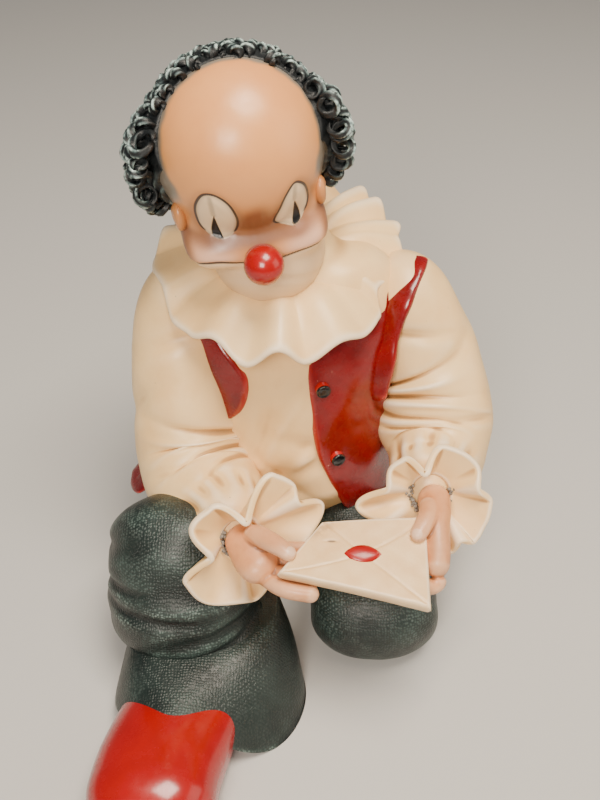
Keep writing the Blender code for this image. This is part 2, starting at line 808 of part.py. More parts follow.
def trousers():
    """Seat and both trouser legs, with the rolled fold and the wide hem over the front shoe."""
    return [
        limb(SEAT, (0, 1, 0), 20, 30),
        limb(RIGHT_THIGH, (1, 0, 0), 26, 34),
        limb(RIGHT_SHIN, (1, 0, 0), 26, 36, round_ends=(0.9, 0.3), squareness=2.15),
        hem(),
        limb(SHIN_ROLL, (0, 0, 1), 26, 16),
        limb(LEFT_THIGH, (1, 0, 0), 26, 34, round_ends=(1.0, 0.7), squareness=2.4),
        limb(LEFT_SHIN, (1, 0, 0), 34, 34, round_ends=(0.9, 0.2)),
    ]


# Shoes: x, y, z, half width, half height
RIGHT_SHOE = (
    (-20, -50, 7, 13, 9),
    (-24, -66, 7, 15, 10),
    (-28, -80, 7.5, 16.5, 11),
    (-32.3, -97, 9, 16.8, 13),
    (-34.5, -118, 10, 16.5, 13.5),
)
LEFT_SHOE = (
    (31, 22, 17, 11, 12),
    (32, 32, 17, 13, 13),
    (33, 40, 9.0, 15.5, 13.5),
    (34, 46, 6.8, 15, 11.5),
)


def shoes():
    """Front shoe flat on the ground, and the back shoe standing on its toe."""
    return [
        limb(RIGHT_SHOE, (1, 0, 0), 34, 32, round_ends=(0.8, 0.9), squareness=2.4),
        limb(LEFT_SHOE, (1, 0, 0), 30, 30, round_ends=(0.8, 0.9), squareness=2.3),
    ]


# Letter: corners of its middle sheet, the back two and the front two, right hand's side first
LETTER_CORNERS = (
    ((10.8, -52.1, 57.0), (38.7, -50.1, 57.0)),
    ((-0.9, -67.2, 54.0), (38.1, -75.5, 50.0)),
)
LETTER_BOW = 0.7
SEAL_PLACE = (0.49, 0.52)


def letter_point(right, front, lift):
    """A point on the letter: shares 0..1 of the way to its right and its front, and a lift."""
    right, front, lift = np.broadcast_arrays(right, front, lift)
    corners = np.array(LETTER_CORNERS)
    flat = 0.0
    for row, along in ((0, 1 - front), (1, front)):
        for column, across in ((0, 1 - right), (1, right)):
            flat = flat + corners[row, column] * (along * across)[..., None]
    bow = LETTER_BOW * np.sin(math.pi * right) * (0.4 + 0.6 * front)
    return flat + (lift + bow)[..., None] * letter_up()


def letter_up():
    """The letter's upper side."""
    (back_left, back_right), (front_left, front_right) = np.array(LETTER_CORNERS)
    return unit_vector(np.cross(back_right - front_left, back_left - front_right))


def letter():
    """The envelope, a slightly bowed slab that is thicker underneath towards its front edge."""
    right = np.linspace(0, 1, 22)[None, :]
    front = np.linspace(0, 1, 14)[:, None]
    half = in_units(LETTER_THICKNESS) / 2
    under = half + in_units(LETTER_FRONT_THICKNESS - LETTER_THICKNESS) * front**2
    return shell(letter_point(right, front, half), letter_point(right, front, -under))


def seal():
    """The red wax seal."""
    up = letter_up()
    along = unit_vector(np.cross((0, 1, 0), up))
    half = in_units(SEAL_WIDTH) / 2
    centre = letter_point(*np.array(SEAL_PLACE), in_units(LETTER_THICKNESS) / 2)
    return ball(centre, (half, half * 0.6, 1.1), (along, np.cross(up, along), up), 8, 16)


# Hands: rows of x, y, z, half width, half height; the wrists sit in the cuffs
RIGHT_PALM = (
    (-12.3, -48.8, 50.5, 4.4, 4.2),
    (-9.2, -54.8, 51.4, 5.6, 4.6),
    (-6.2, -60.2, 50.6, 5.8, 4.3),
    (-2.2, -64.8, 50.0, 4.8, 3.4),
)
RIGHT_THUMB = (
    (-9.2, -53.2, 53.8, 3.0, 3.0),
    (-5.0, -56.8, 56.6, 2.9, 2.6),
    (-0.2, -61.1, 57.7, 2.6, 2.1),
    (3.7, -64.2, 57.0, 2.1, 1.6),
)
RIGHT_FINGERS = (
    ((-5.5, -62.5, 48.8), (0.8, -67.8, 49.2), (10.0, -69.6, 48.8), 2.3),
    ((-6.5, -59.5, 48.8), (1.5, -64.0, 50.0), (11.0, -65.3, 50.2), 2.2),
    ((-6.5, -56.5, 49.2), (2.0, -59.8, 50.6), (11.0, -60.8, 51.4), 2.1),
    ((-7.0, -54.0, 50.0), (3.0, -56.0, 51.4), (11.5, -57.0, 52.6), 1.9),
)
LEFT_PALM = (
    (41.3, -39.5, 57.3, 4.4, 4.2),
    (41.6, -46.0, 57.2, 4.4, 4.4),
    (41.3, -52.5, 55.4, 3.8, 4.6),
    (41.3, -59.0, 52.0, 3.5, 4.4),
    (40.8, -64.2, 49.5, 3.0, 3.2),
)
LEFT_THUMB = (
    (40.6, -45.0, 58.8, 3.2, 2.9),
    (39.6, -50.3, 59.2, 2.9, 2.5),
    (37.4, -54.8, 58.8, 2.5, 2.1),
    (34.9, -58.6, 57.3, 2.0, 1.7),
)
LEFT_FINGERS = (
    ((43.0, -50.0, 54.0), (41.0, -50.5, 52.5), (33.0, -51.5, 53.4), 1.9),
    ((43.6, -54.0, 52.0), (41.0, -55.0, 50.5), (32.5, -55.8, 52.0), 2.1),
    ((43.4, -58.5, 50.0), (41.0, -60.0, 48.5), (32.5, -60.8, 50.3), 2.1),
    ((42.4, -62.5, 48.5), (40.2, -65.0, 46.8), (33.0, -66.4, 48.7), 2.1),
)


def hands():
    """Both hands with thumbs above the letter and fingers under it."""
    found = [
        limb(RIGHT_PALM, (1, 0, 0), 20, 20),
        limb(RIGHT_THUMB, (0, 1, 0), 16, 14),
        limb(LEFT_PALM, (1, 0, 0), 20, 20),
        limb(LEFT_THUMB, (1, 0, 0), 16, 14),
    ]
    for root, knuckle, tip, radius in RIGHT_FINGERS + LEFT_FINGERS:
        rows = [[*spot, radius, radius] for spot in (root, knuckle, tip)]
        found.append(limb(rows, (0, 0, 1), 14, 10))
    return found


def wrist_plug(cuff, extra):
    """The round plug at a wrist, or with extra its socket cutter: centre line rows."""
    centre, out = np.asarray(cuff[0], float), unit_vector(cuff[1])
    depth = in_units(SOCKET_DEPTH + extra)
    radius = in_units(WRIST_RADIUS + extra)
    return centre - out * depth, centre + out * 5.0, radius


def figure_shapes():
    """Every shape of the figure's casting, with its paint."""
    shapes = [("skin", head()), ("red", nose()), ("cream", torso()), ("cream", collar())]
    shapes += [("skin", ear) for ear in ears()]
    shapes += [("hair", hair_base())] + [("hair", curl(*place)) for place in curl_places()]
    shapes += [("red", waistcoat())] + [("red", strap) for strap in straps()]
    shapes += [("hair", button) for button in buttons()]
    shapes += [("cream", shape) for shape in sleeves() + cuffs()]
    shapes += [("green", shape) for shape in trousers()] + [("red", shape) for shape in shoes()]
    return shapes


def hand_shapes():
    """Every shape of the casting of the hands and the letter, with its paint."""
    return [("skin", s) for s in hands()] + [("cream", letter()), ("red", seal())]


def mesh_of(name, shapes):
    """One Blender mesh that holds the shapes side by side, at real size."""
    mesh = bpy.data.meshes.new(name)
    points, faces, start = [], [], 0
    for _, (shape_points, shape_faces) in shapes:
        points.append(placed(shape_points))
        faces += [tuple(start + corner for corner in face) for face in shape_faces]
        start += len(shape_points)
    mesh.from_pydata(np.concatenate(points), [], faces)
    build = bmesh.new()
    build.from_mesh(mesh)
    bmesh.ops.recalc_face_normals(build, faces=build.faces)
    build.to_mesh(mesh)
    build.free()
    return mesh


def apply_modifiers(obj):
    """The object's mesh with its modifiers made real."""
    graph = bpy.context.evaluated_depsgraph_get()
    made = bpy.data.meshes.new_from_object(obj.evaluated_get(graph))
    obj.modifiers.clear()
    obj.data = made


def keep_outer_skin(mesh):
    """Removes every shell but the largest, such as pockets sealed between curls, after any
    sliver that a cut left."""
    build = bmesh.new()
    build.from_mesh(mesh)
    bmesh.ops.dissolve_degenerate(build, dist=SLIVER, edges=build.edges)
    left = set(build.faces)
    islands = []
    while left:
        seed = left.pop()
        island, edge = [seed], [seed]
        while edge:
            face = edge.pop()
            for link in face.edges:
                for other in link.link_faces:
                    if other in left:
                        left.discard(other)
                        island.append(other)
                        edge.append(other)
        islands.append(island)
    largest = max(islands, key=len)
    spare = [face for island in islands if island is not largest for face in island]
    bmesh.ops.delete(build, geom=spare, context="FACES")
    build.to_mesh(mesh)
    build.free()


def cast(name, shapes, voxel, triangles):
    """Fuses the shapes into one casting with the given number of triangles."""
    obj = bpy.data.objects.new(name, mesh_of(name, shapes))
    bpy.context.scene.collection.objects.link(obj)
    fuse = obj.modifiers.new("fuse", "REMESH")
    fuse.mode = "VOXEL"
    fuse.voxel_size = voxel
    apply_modifiers(obj)
    keep_outer_skin(obj.data)
    thin = obj.modifiers.new("thin", "DECIMATE")
    thin.ratio = triangles / (2 * len(obj.data.polygons))
    apply_modifiers(obj)
    return obj


def flat_foot(obj):
    """Cuts the casting off flat at the ground and closes the cut."""
    build = bmesh.new()
    build.from_mesh(obj.data)
    geometry = build.verts[:] + build.edges[:] + build.faces[:]
    bmesh.ops.bisect_plane(
        build, geom=geometry, plane_co=(0, 0, 0), plane_no=(0, 0, 1), clear_inner=True
    )
    bmesh.ops.holes_fill(build, edges=[edge for edge in build.edges if edge.is_boundary])
    bmesh.ops.triangulate(build, faces=build.faces)
    build.to_mesh(obj.data)
    build.free()


def round_bar(name, start, end, radius, sides=20):
    """A plain cylinder between two points in figure units."""
    axis = Vector(end - start)
    build = bmesh.new()
    bmesh.ops.create_cone(
        build,
        cap_ends=True,
        segments=sides,
        radius1=radius * UNIT,
        radius2=radius * UNIT,
        depth=axis.length * UNIT,
    )
    mesh = bpy.data.meshes.new(name)
    build.to_mesh(mesh)
    build.free()
    obj = bpy.data.objects.new(name, mesh)
    bpy.context.scene.collection.objects.link(obj)
    obj.location = Vector(placed((start + end) / 2))
    obj.rotation_mode = "QUATERNION"
    obj.rotation_quaternion = axis.to_track_quat("Z", "Y")
    return obj


def combine(obj, other, operation):
    """A Boolean with a helper object, made real, after which the helper goes."""
    bpy.context.view_layer.update()
    modifier = obj.modifiers.new(operation.lower(), "BOOLEAN")
    modifier.operation = operation
    modifier.object = other
    apply_modifiers(obj)
    bpy.data.objects.remove(other)


def grown(obj):
    """A copy of an object that is larger all round by the fit gap, to cut its seat with."""
    copy = bpy.data.objects.new(obj.name + "_grown", obj.data.copy())
    bpy.context.scene.collection.objects.link(copy)
    swell = copy.modifiers.new("swell", "DISPLACE")
    swell.strength = SEAT_MARGIN
    swell.mid_level = 0.0
    clean = copy.modifiers.new("clean", "REMESH")
    clean.mode = "VOXEL"
    clean.voxel_size = HANDS_VOXEL
    thin = copy.modifiers.new("thin", "DECIMATE")
    thin.ratio = SEAT_SHARE
    apply_modifiers(copy)
    return copy


def paint(obj, shapes):
    """Gives each face the paint of the nearest source shape."""
    used = list(dict.fromkeys(name for name, _ in shapes))
    for name in used:
        obj.data.materials.append(paint_material(name))
    owners, points, faces, start = [], [], [], 0
    for name, (shape_points, shape_faces) in shapes:
        points += [Vector(point) for point in placed(shape_points)]
        faces += [tuple(start + corner for corner in face) for face in shape_faces]
        owners += [used.index(name)] * len(shape_faces)
        start += len(shape_points)
    tree = BVHTree.FromPolygons(points, faces)
    for polygon in obj.data.polygons:
        found = tree.find_nearest(polygon.center)
        polygon.material_index = owners[found[2]]


def paint_material(name):
    """A plain painted surface, made once."""
    if name in bpy.data.materials:
        return bpy.data.materials[name]
    (red, green, blue), roughness = PAINTS[name]
    material = bpy.data.materials.new(name)
    material.use_nodes = True
    shader = material.node_tree.nodes["Principled BSDF"]
    linear = [c / 12.92 if c <= 0.04045 else ((c + 0.055) / 1.055) ** 2.4 for c in (red, green, blue)]
    shader.inputs["Base Color"].default_value = (*linear, 1)
    shader.inputs["Roughness"].default_value = roughness
    material.diffuse_color = (*linear, 1)
    return material


def clear_scene():
    """Removes whatever the scene holds."""
    for obj in list(bpy.data.objects):
        bpy.data.objects.remove(obj)


def main():
    """Makes both castings."""
    clear_scene()
    figure = cast("clown_figure", figure_shapes(), FIGURE_VOXEL, FIGURE_TRIANGLES)
    hands_piece = cast("hands_and_letter", hand_shapes(), HANDS_VOXEL, HANDS_TRIANGLES)
    cutters = [grown(hands_piece)]
    for number, cuff in enumerate(CUFFS):
        start, end, radius = wrist_plug(cuff, FIT_GAP)
        cutters.append(round_bar(f"socket_{number}", start, end, radius))
        start, end, radius = wrist_plug(cuff, 0.0)
        combine(hands_piece, round_bar(f"plug_{number}", start, end, radius), "UNION")
    for cutter in cutters:
        combine(figure, cutter, "DIFFERENCE")
    keep_outer_skin(figure.data)
    flat_foot(figure)
    paint(figure, figure_shapes())
    paint(hands_piece, hand_shapes())


if __name__ == "__main__":
    main()
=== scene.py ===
"""Looks of a kneeling clown figurine: cast resin, sprayed and brushed by hand.

Shapes are drawn in millimetres in the maker's drawing. Its zero point lies on the ground under
the chest, +X is the clown's left side, -Y the front and +Z up; DRAWING_SHIFT puts it in the frame.
Every piece is a surface worked out with numpy, and rides on the casting's one body.
"""

from __future__ import annotations

import logging
import math
from collections.abc import Callable
from dataclasses import dataclass, field
from enum import Enum

import bpy
import numpy as np
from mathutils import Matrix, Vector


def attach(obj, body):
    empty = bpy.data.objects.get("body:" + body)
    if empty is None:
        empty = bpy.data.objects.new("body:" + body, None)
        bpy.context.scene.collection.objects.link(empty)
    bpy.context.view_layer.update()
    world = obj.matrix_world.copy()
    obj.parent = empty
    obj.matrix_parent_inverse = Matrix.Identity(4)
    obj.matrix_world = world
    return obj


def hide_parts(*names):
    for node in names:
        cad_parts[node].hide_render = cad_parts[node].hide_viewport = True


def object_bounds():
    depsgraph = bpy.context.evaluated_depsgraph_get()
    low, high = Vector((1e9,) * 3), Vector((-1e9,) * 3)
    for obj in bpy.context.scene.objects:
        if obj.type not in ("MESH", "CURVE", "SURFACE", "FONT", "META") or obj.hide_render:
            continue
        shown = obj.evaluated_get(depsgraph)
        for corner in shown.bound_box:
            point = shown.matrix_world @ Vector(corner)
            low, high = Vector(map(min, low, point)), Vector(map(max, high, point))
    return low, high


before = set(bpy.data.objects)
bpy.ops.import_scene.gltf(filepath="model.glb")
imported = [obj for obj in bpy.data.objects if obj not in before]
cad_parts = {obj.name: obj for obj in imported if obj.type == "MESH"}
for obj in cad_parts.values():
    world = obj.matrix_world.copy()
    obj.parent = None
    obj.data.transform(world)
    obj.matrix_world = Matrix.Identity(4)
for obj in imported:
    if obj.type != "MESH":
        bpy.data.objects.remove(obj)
CAD_BOX = [list(corner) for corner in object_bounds()]

Array = np.ndarray
LOG = logging.getLogger("clown")
MM = 0.001
DRAWING_SHIFT = np.array([-5.8, 35.1, 0.0])
BODY = "root"
NO_CORNER = -1
SIDEWAYS = (1, 0, 0)  # the clown's left
PATH_STEPS = 400
END_CROWDING = 0.35  # how far the steps along a limb draw together towards its ends
FAR = 9.0  # what a mark that is a distance says where its line isn't near
FACE_LINES = ("eye_gap", "eye_line", "pupil_gap", "mouth_gap", "nose_gap")


class Slot(Enum):
    """The record's material slots."""

    FIGURE = "painted_figure"
    HANDS = "painted_hands"


class Grain(Enum):
    """What the fine relief of a painted surface looks like."""

    SMOOTH = "sprayed"
    BRUSHED = "brushed"
    WOVEN = "woven"
    CRUMBLY = "crumbly"


def linear_colour(code: str) -> tuple[float, float, float, float]:
    """Turns an sRGB hex colour to linear.

    Args:
        code: Six hex digits.

    Returns:
        Red, green, blue and alpha, linear.
    """
    parts = [int(code[k : k + 2], 16) / 255 for k in (0, 2, 4)]
    return (*[p / 12.92 if p <= 0.04045 else ((p + 0.055) / 1.055) ** 2.4 for p in parts], 1.0)


def add_node(tree: bpy.types.NodeTree, kind: str, inputs: dict, output: str | int = 0,
        **settings: object) -> bpy.types.NodeSocket | None:
    """Adds one node to a material.

    Args:
        tree: The material's node tree.
        kind: The node's type, without its ShaderNode prefix.
        inputs: Input names or numbers, each with a value or with the socket to link.
        output: Name or number of the output that is wanted.
        settings: Attributes of the node and their values.

    Returns:
        The output, or None if the node has none.
    """
    node = tree.nodes.new("ShaderNode" + kind)
    for name, value in settings.items():
        setattr(node, name, value)
    for name, value in inputs.items():
        if isinstance(value, bpy.types.NodeSocket):
            tree.links.new(value, node.inputs[name])
        else:
            node.inputs[name].default_value = value
    return node.outputs[output] if node.outputs else None


@dataclass(frozen=True)
class Coat:
    """One brushed or sprayed layer of paint, or of painted shade or painted highlight, and the mark on the
    mesh that says where it lies.
    """

    colour: str
    mark: str
    bare: float  # the mark's value where there is none of the paint
    full: float  # the mark's value where the paint covers
    strength: float = 1.0
    breakup_mm: float = 0.0  # size of the patches in which the layer is thin
    on_grain: float = 0.0  # how far the layer keeps to the raised grain


@dataclass(frozen=True)
class Finish:
    """A hand-painted resin surface: ground colour, layers over it, gloss and fine relief."""

    name: str
    base: str
    coats: tuple[Coat, ...] = ()
    mottle: str = ""
    mottle_mm: float = 9.0
    mottle_strength: float = 0.35
    speck: str = ""
    speck_mm: float = 2.6
    speck_size: float = 0.10
    roughness: float = 0.4
    rough_spread: float = 0.08
    varnish: float = 0.0
    varnish_roughness: float = 0.1
    grain: Grain = Grain.SMOOTH
    grain_mm: float = 0.8
    grain_depth_mm: float = 0.02
    wave_mm: float = 0.0
    wave_depth_mm: float = 0.0

    def material(self) -> bpy.types.Material:
        """Makes the material, once, from the marks and the Object coordinates in millimetres.

        Returns:
            The material.
        """
        if self.name in bpy.data.materials:
            return bpy.data.materials[self.name]
        material = bpy.data.materials.new(self.name)
        material.use_nodes = True
        tree = material.node_tree
        tree.nodes.clear()
        where = add_node(tree, "TexCoord", {}, "Object")
        place = add_node(tree, "VectorMath", {0: where, "Scale": 1 / MM}, operation="SCALE")
        grain = self._grain_height(tree, place)
        colour = self._colour(tree, place, grain)
        cloud = add_node(tree, "TexNoise", {"Vector": place, "Scale": 0.35, "Detail": 5.0}, "Fac")
        rough = add_node(tree, "MapRange", {"Value": cloud, "From Min": 0.3, "From Max": 0.7,
            "To Min": self.roughness - self.rough_spread, "To Max": self.roughness + self.rough_spread})
        normal = add_node(tree, "Bump", {"Height": grain, "Distance": self.grain_depth_mm * MM,
            "Strength": 1.0})
        if self.wave_mm:
            wave = add_node(tree, "TexNoise", {"Vector": place, "Scale": 1 / self.wave_mm,
                "Detail": 1.5}, "Fac")
            normal = add_node(tree, "Bump", {"Height": wave, "Distance": self.wave_depth_mm * MM,
                "Normal": normal})
        shader = add_node(tree, "BsdfPrincipled", {"Base Color": colour, "Roughness": rough,
            "Normal": normal, "IOR": 1.5, "Coat Weight": self.varnish,
            "Coat Roughness": self.varnish_roughness})
        add_node(tree, "OutputMaterial", {"Surface": shader})
        return material

    def _grain_height(self, tree: bpy.types.NodeTree, place: bpy.types.NodeSocket) -> bpy.types.NodeSocket:
        """The height of the fine relief, 0 to 1.

        Args:
            tree: The material's node tree.
            place: Where the point is, in millimetres.

        Returns:
            The socket with the height.
        """
        if self.grain is Grain.WOVEN:
            # Cloth pressed into the clay: threads cross every grain_mm, and leave rows of small pips.
            stir = add_node(tree, "TexNoise", {"Vector": place, "Scale": 0.22}, "Color")
            bent = add_node(tree, "VectorMath", {0: stir, 1: (1.6, 1.6, 1.6), 2: place},
                operation="MULTIPLY_ADD")
            pips = add_node(tree, "TexVoronoi", {"Vector": bent, "Scale": 1 / self.grain_mm,
                "Randomness": 0.45, "Smoothness": 0.2}, "Distance", feature="SMOOTH_F1")
            return add_node(tree, "MapRange", {"Value": pips, "From Min": 0.68, "From Max": 0.12},
                interpolation_type="SMOOTHSTEP")
        detail = {Grain.SMOOTH: 2.0, Grain.BRUSHED: 6.0, Grain.CRUMBLY: 9.0}[self.grain]
        return add_node(tree, "TexNoise", {"Vector": place, "Scale": 1 / self.grain_mm,
            "Detail": detail, "Roughness": 0.6}, "Fac")

    def _colour(self, tree: bpy.types.NodeTree, place: bpy.types.NodeSocket,
            grain: bpy.types.NodeSocket) -> bpy.types.NodeSocket:
        """The paint's colour: the mottled ground, each coat over the one before, then dirt specks.

        Args:
            tree: The material's node tree.
            place: Where the point is, in millimetres.
            grain: The fine relief's height.

        Returns:
            The socket with the colour.
        """
        layers = []
        if self.mottle:
            cloud = add_node(tree, "TexNoise", {"Vector": place, "Scale": 1 / self.mottle_mm,
                "Detail": 4.0, "Roughness": 0.55}, "Fac")
            layers.append((cloud, Coat(self.mottle, "", 0.38, 0.72, self.mottle_strength)))
        for coat in self.coats:
            layers.append((add_node(tree, "Attribute", {}, "Fac", attribute_name=coat.mark), coat))
        if self.speck:
            spots = add_node(tree, "TexVoronoi", {"Vector": place, "Scale": 1 / self.speck_mm}, "Distance")
            layers.append((spots, Coat(self.speck, "", self.speck_size, self.speck_size * 0.5, 0.75, 7.0)))
        colour = linear_colour(self.base)
        for mask, coat in layers:
            cover = add_node(tree, "MapRange", {"Value": mask, "From Min": coat.bare,
                "From Max": coat.full, "To Max": coat.strength}, interpolation_type="SMOOTHSTEP")
            if coat.breakup_mm:
                patch = add_node(tree, "TexNoise", {"Vector": place, "Scale": 1 / coat.breakup_mm,
                    "Detail": 5.0}, "Fac")
                thin = add_node(tree, "MapRange", {"Value": patch, "From Min": 0.40, "From Max": 0.60})
                cover = add_node(tree, "Math", {0: cover, 1: thin}, operation="MULTIPLY")
            if coat.on_grain:
                raised = add_node(tree, "MapRange", {"Value": grain, "From Min": 0.15,
                    "From Max": 0.85, "To Min": 1 - coat.on_grain})
                cover = add_node(tree, "Math", {0: cover, 1: raised}, operation="MULTIPLY")
            colour = add_node(tree, "Mix", {0: cover, 6: colour, 7: linear_colour(coat.colour)}, 2,
                data_type="RGBA")
        return colour


# Sprayed peach enamel, satin: pink blush, brown shadow and brushed lines are the marks on it, with painted
# shade browning its hollows.
SKIN = Finish(name="satin_enamel_peach", base="E29C5C", mottle="D68A4C", mottle_mm=14.0,
    mottle_strength=0.35,
    coats=(Coat("F2C0A2", "blush", 0.05, 1.0, 0.9), Coat("7A4A30", "shade", 0.05, 1.0, 0.85),
    Coat("E2C096", "jaw", -0.35, 0.35), Coat("9B6B48", "hollow", 0.25, 1.2, 0.5),
    Coat("6E7068", "fringe", 0.05, 0.9, 0.9), Coat("E6C8A0", "eye_gap", 0.12, -0.12),
    Coat("A58F74", "eye_shade", 0.1, 1.0, 0.7), Coat("2B1710", "eye_line", 0.42, 0.20, 0.95),
    Coat("0B0908", "pupil_gap", 0.12, -0.10), Coat("2E1710", "mouth_gap", 0.46, 0.22, 0.95),
    Coat("8A1712", "nose_gap", 1.0, 0.6, 0.9)), roughness=0.36, rough_spread=0.05, varnish=0.18,
    varnish_roughness=0.26, grain=Grain.BRUSHED, grain_mm=1.6, grain_depth_mm=0.03)
# Flesh-coloured enamel of the hands, brushed, with painted shade browning the creases and a painted
# highlight on the ridges.
HAND_SKIN = Finish(name="satin_enamel_flesh", base="D39160", mottle="BC7648", mottle_mm=5.0,
    mottle_strength=0.6,
    coats=(Coat("7A4B30", "hollow", 0.12, 0.8, 0.75), Coat("EBC6A4", "hollow", -0.15, -0.7, 0.5),
    Coat("E6C3A6", "nail", 0.3, 0.8, 0.7)), roughness=0.42, varnish=0.1, grain=Grain.BRUSHED,
    grain_mm=1.1, grain_depth_mm=0.05)
# Cream acrylic over resin, satin, with painted shade in ochre and brown in the folds and a painted highlight
# on the ridges.
CREAM = Finish(name="satin_acrylic_cream", base="F4CE92", mottle="E8B774", mottle_mm=16.0,
    mottle_strength=0.5,
    coats=(Coat("B98449", "hollow", 0.03, 0.26, 0.75), Coat("74502C", "hollow", 0.18, 0.70, 0.65),
    Coat("FAEBD2", "hollow", -0.06, -0.45, 0.6)), speck="7A6145", speck_mm=5.5, speck_size=0.045,
    roughness=0.40, rough_spread=0.06, varnish=0.12, varnish_roughness=0.3, grain=Grain.BRUSHED,
    grain_mm=2.2, grain_depth_mm=0.05, wave_mm=5.0, wave_depth_mm=0.12)
# Deep red gloss enamel, brushed thick, with painted shade darkening the hollows and a painted highlight on
# the ridges.
WAISTCOAT_RED = Finish(name="gloss_enamel_deep_red", base="7C0204", mottle="600203", mottle_mm=8.0,
    mottle_strength=0.6,
    coats=(Coat("4E0A0A", "hollow", 0.10, 0.8, 0.75), Coat("C8382C", "hollow", -0.15, -0.9, 0.6)),
    speck="D9A08C", speck_mm=4.6, speck_size=0.05, roughness=0.26, rough_spread=0.06, varnish=0.45,
    varnish_roughness=0.12, grain=Grain.BRUSHED, grain_mm=2.4, grain_depth_mm=0.07, wave_mm=4.0,
    wave_depth_mm=0.16)
# Bright red gloss enamel of the nose and shoes, poured smooth, with painted shade darkening the hollows.
SHOE_RED = Finish(name="gloss_enamel_bright_red", base="A00001", mottle="820001", mottle_mm=12.0,
    coats=(Coat("5A0806", "hollow", 0.15, 0.9, 0.7),), roughness=0.26, rough_spread=0.04, varnish=0.45,
    varnish_roughness=0.12, grain_mm=3.0, grain_depth_mm=0.03)
# Grey-green acrylic on cloth-pressed resin, dry-brushed pale on the raised threads, with painted shade
# darkening the folds.
TROUSER_GREEN = Finish(name="dry_brushed_acrylic_grey_green", base="121F1C", mottle="0C1514",
    mottle_mm=12.0, mottle_strength=0.7,
    coats=(Coat("0D1212", "hollow", 0.04, 0.4, 0.85),
    Coat("566A64", "hollow", 0.05, -0.24, 0.8, breakup_mm=9.0, on_grain=0.7),
    Coat("9AABA3", "hollow", -0.02, -0.45, 0.6, breakup_mm=6.0, on_grain=1.0),
    Coat("432B16", "turned_in", 0.1, 0.9, 0.8)), roughness=0.46, rough_spread=0.06, varnish=0.15,
    varnish_roughness=0.35, grain=Grain.WOVEN, grain_mm=0.78, grain_depth_mm=0.13)
# Blue-black acrylic hair, its strands dry-brushed grey-green.
HAIR_BLACK = Finish(name="dry_brushed_acrylic_blue_black", base="0B1013", mottle="141B1F",
    coats=(Coat("56696A", "strand", 0.15, 0.7, 0.9, breakup_mm=1.8),
    Coat("BACFC9", "strand", 0.42, 0.85, 0.9, breakup_mm=1.3)), roughness=0.52, varnish=0.05,
    grain=Grain.BRUSHED, grain_mm=0.6, grain_depth_mm=0.12)
# Black gloss enamel dabbed on the buttons' tops.
BUTTON_BLACK = Finish(name="gloss_enamel_black", base="0D0C0D",
    coats=(Coat("A81410", "rim", 0.35, 0.6),), roughness=0.22, varnish=0.6)
# Warm cream acrylic of the letter, stained near the thumb, with a painted highlight on its rounded edges.
LETTER_CREAM = Finish(name="satin_acrylic_paper_cream", base="EDC68E", mottle="DEAD70", mottle_mm=9.0,
    mottle_strength=0.55,
    coats=(Coat("CFA878", "fold", 0.22, 0.05, 0.4),
    Coat("B58C5C", "stain", 0.15, 1.0, 0.7, breakup_mm=2.0), Coat("4A3524", "nick", 0.3, 0.8, 0.8),
    Coat("FAE6C8", "hollow", -0.2, -1.2, 0.7)), speck="7A5F42", speck_mm=6.0, speck_size=0.04,
    roughness=0.40, varnish=0.12, varnish_roughness=0.3, grain=Grain.BRUSHED, grain_mm=2.0,
    grain_depth_mm=0.06)
# Red gloss paint of the wax seal, paler pink towards one end.
SEAL_RED = Finish(name="gloss_enamel_wax_red", base="A00101", mottle="800101", mottle_mm=3.0,
    coats=(Coat("E58A78", "worn", 0.4, 0.9, 0.8, breakup_mm=1.0),), roughness=0.34, varnish=0.25)
# Grey epoxy glue, squeezed out and left unpainted round the wrists.
GLUE_GREY = Finish(name="matt_epoxy_grey", base="8E877E", mottle="4E4740", mottle_mm=1.2,
    mottle_strength=0.8, roughness=0.8, grain=Grain.CRUMBLY, grain_mm=0.6, grain_depth_mm=0.15)


@dataclass
class Surface:
    """A mesh being drawn: points in millimetres, faces of four corners or of three and
    NO_CORNER, and named marks on the points, which the paint reads."""

    points: Array
    faces: Array
    marks: dict[str, Array] = field(default_factory=dict)


def joined(surfaces: list[Surface]) -> Surface:
    """Puts surfaces side by side in one mesh.

    Args:
        surfaces: The surfaces. A mark that one of them lacks is 0 there.

    Returns:
        The one surface.
    """
    starts = np.cumsum([0] + [len(s.points) for s in surfaces])
    faces = [np.where(s.faces >= 0, s.faces + k, NO_CORNER) for s, k in zip(surfaces, starts)]
    names = {name for s in surfaces for name in s.marks}
    marks = {name: np.concatenate([s.marks.get(name, np.zeros(len(s.points))) for s in surfaces])
        for name in names}
    return Surface(np.concatenate([s.points for s in surfaces]), np.concatenate(faces), marks)


def last_corners(faces: Array) -> Array:
    """The last corner of every face, be it of four corners or of three."""
    return np.where(faces[:, 3] >= 0, faces[:, 3], faces[:, 2])


def grounded(surface: Surface) -> Surface:
    """Presses flat what hangs below the ground, and returns the same surface."""
    surface.points[:, 2] = np.maximum(surface.points[:, 2], 0.0)
    return surface


def corner_pairs(faces: Array) -> Array:
    """Every edge of a mesh once, as two point numbers.

    Args:
        faces: Corners of the faces.

    Returns:
        The edges.
    """
    quads = faces[faces[:, 3] >= 0]
    triangles = faces[faces[:, 3] < 0][:, :3]
    found = [quads[:, [k, (k + 1) % 4]] for k in range(4)]
    found += [triangles[:, [k, (k + 1) % 3]] for k in range(3)]
    return np.unique(np.sort(np.concatenate(found), axis=1), axis=0)


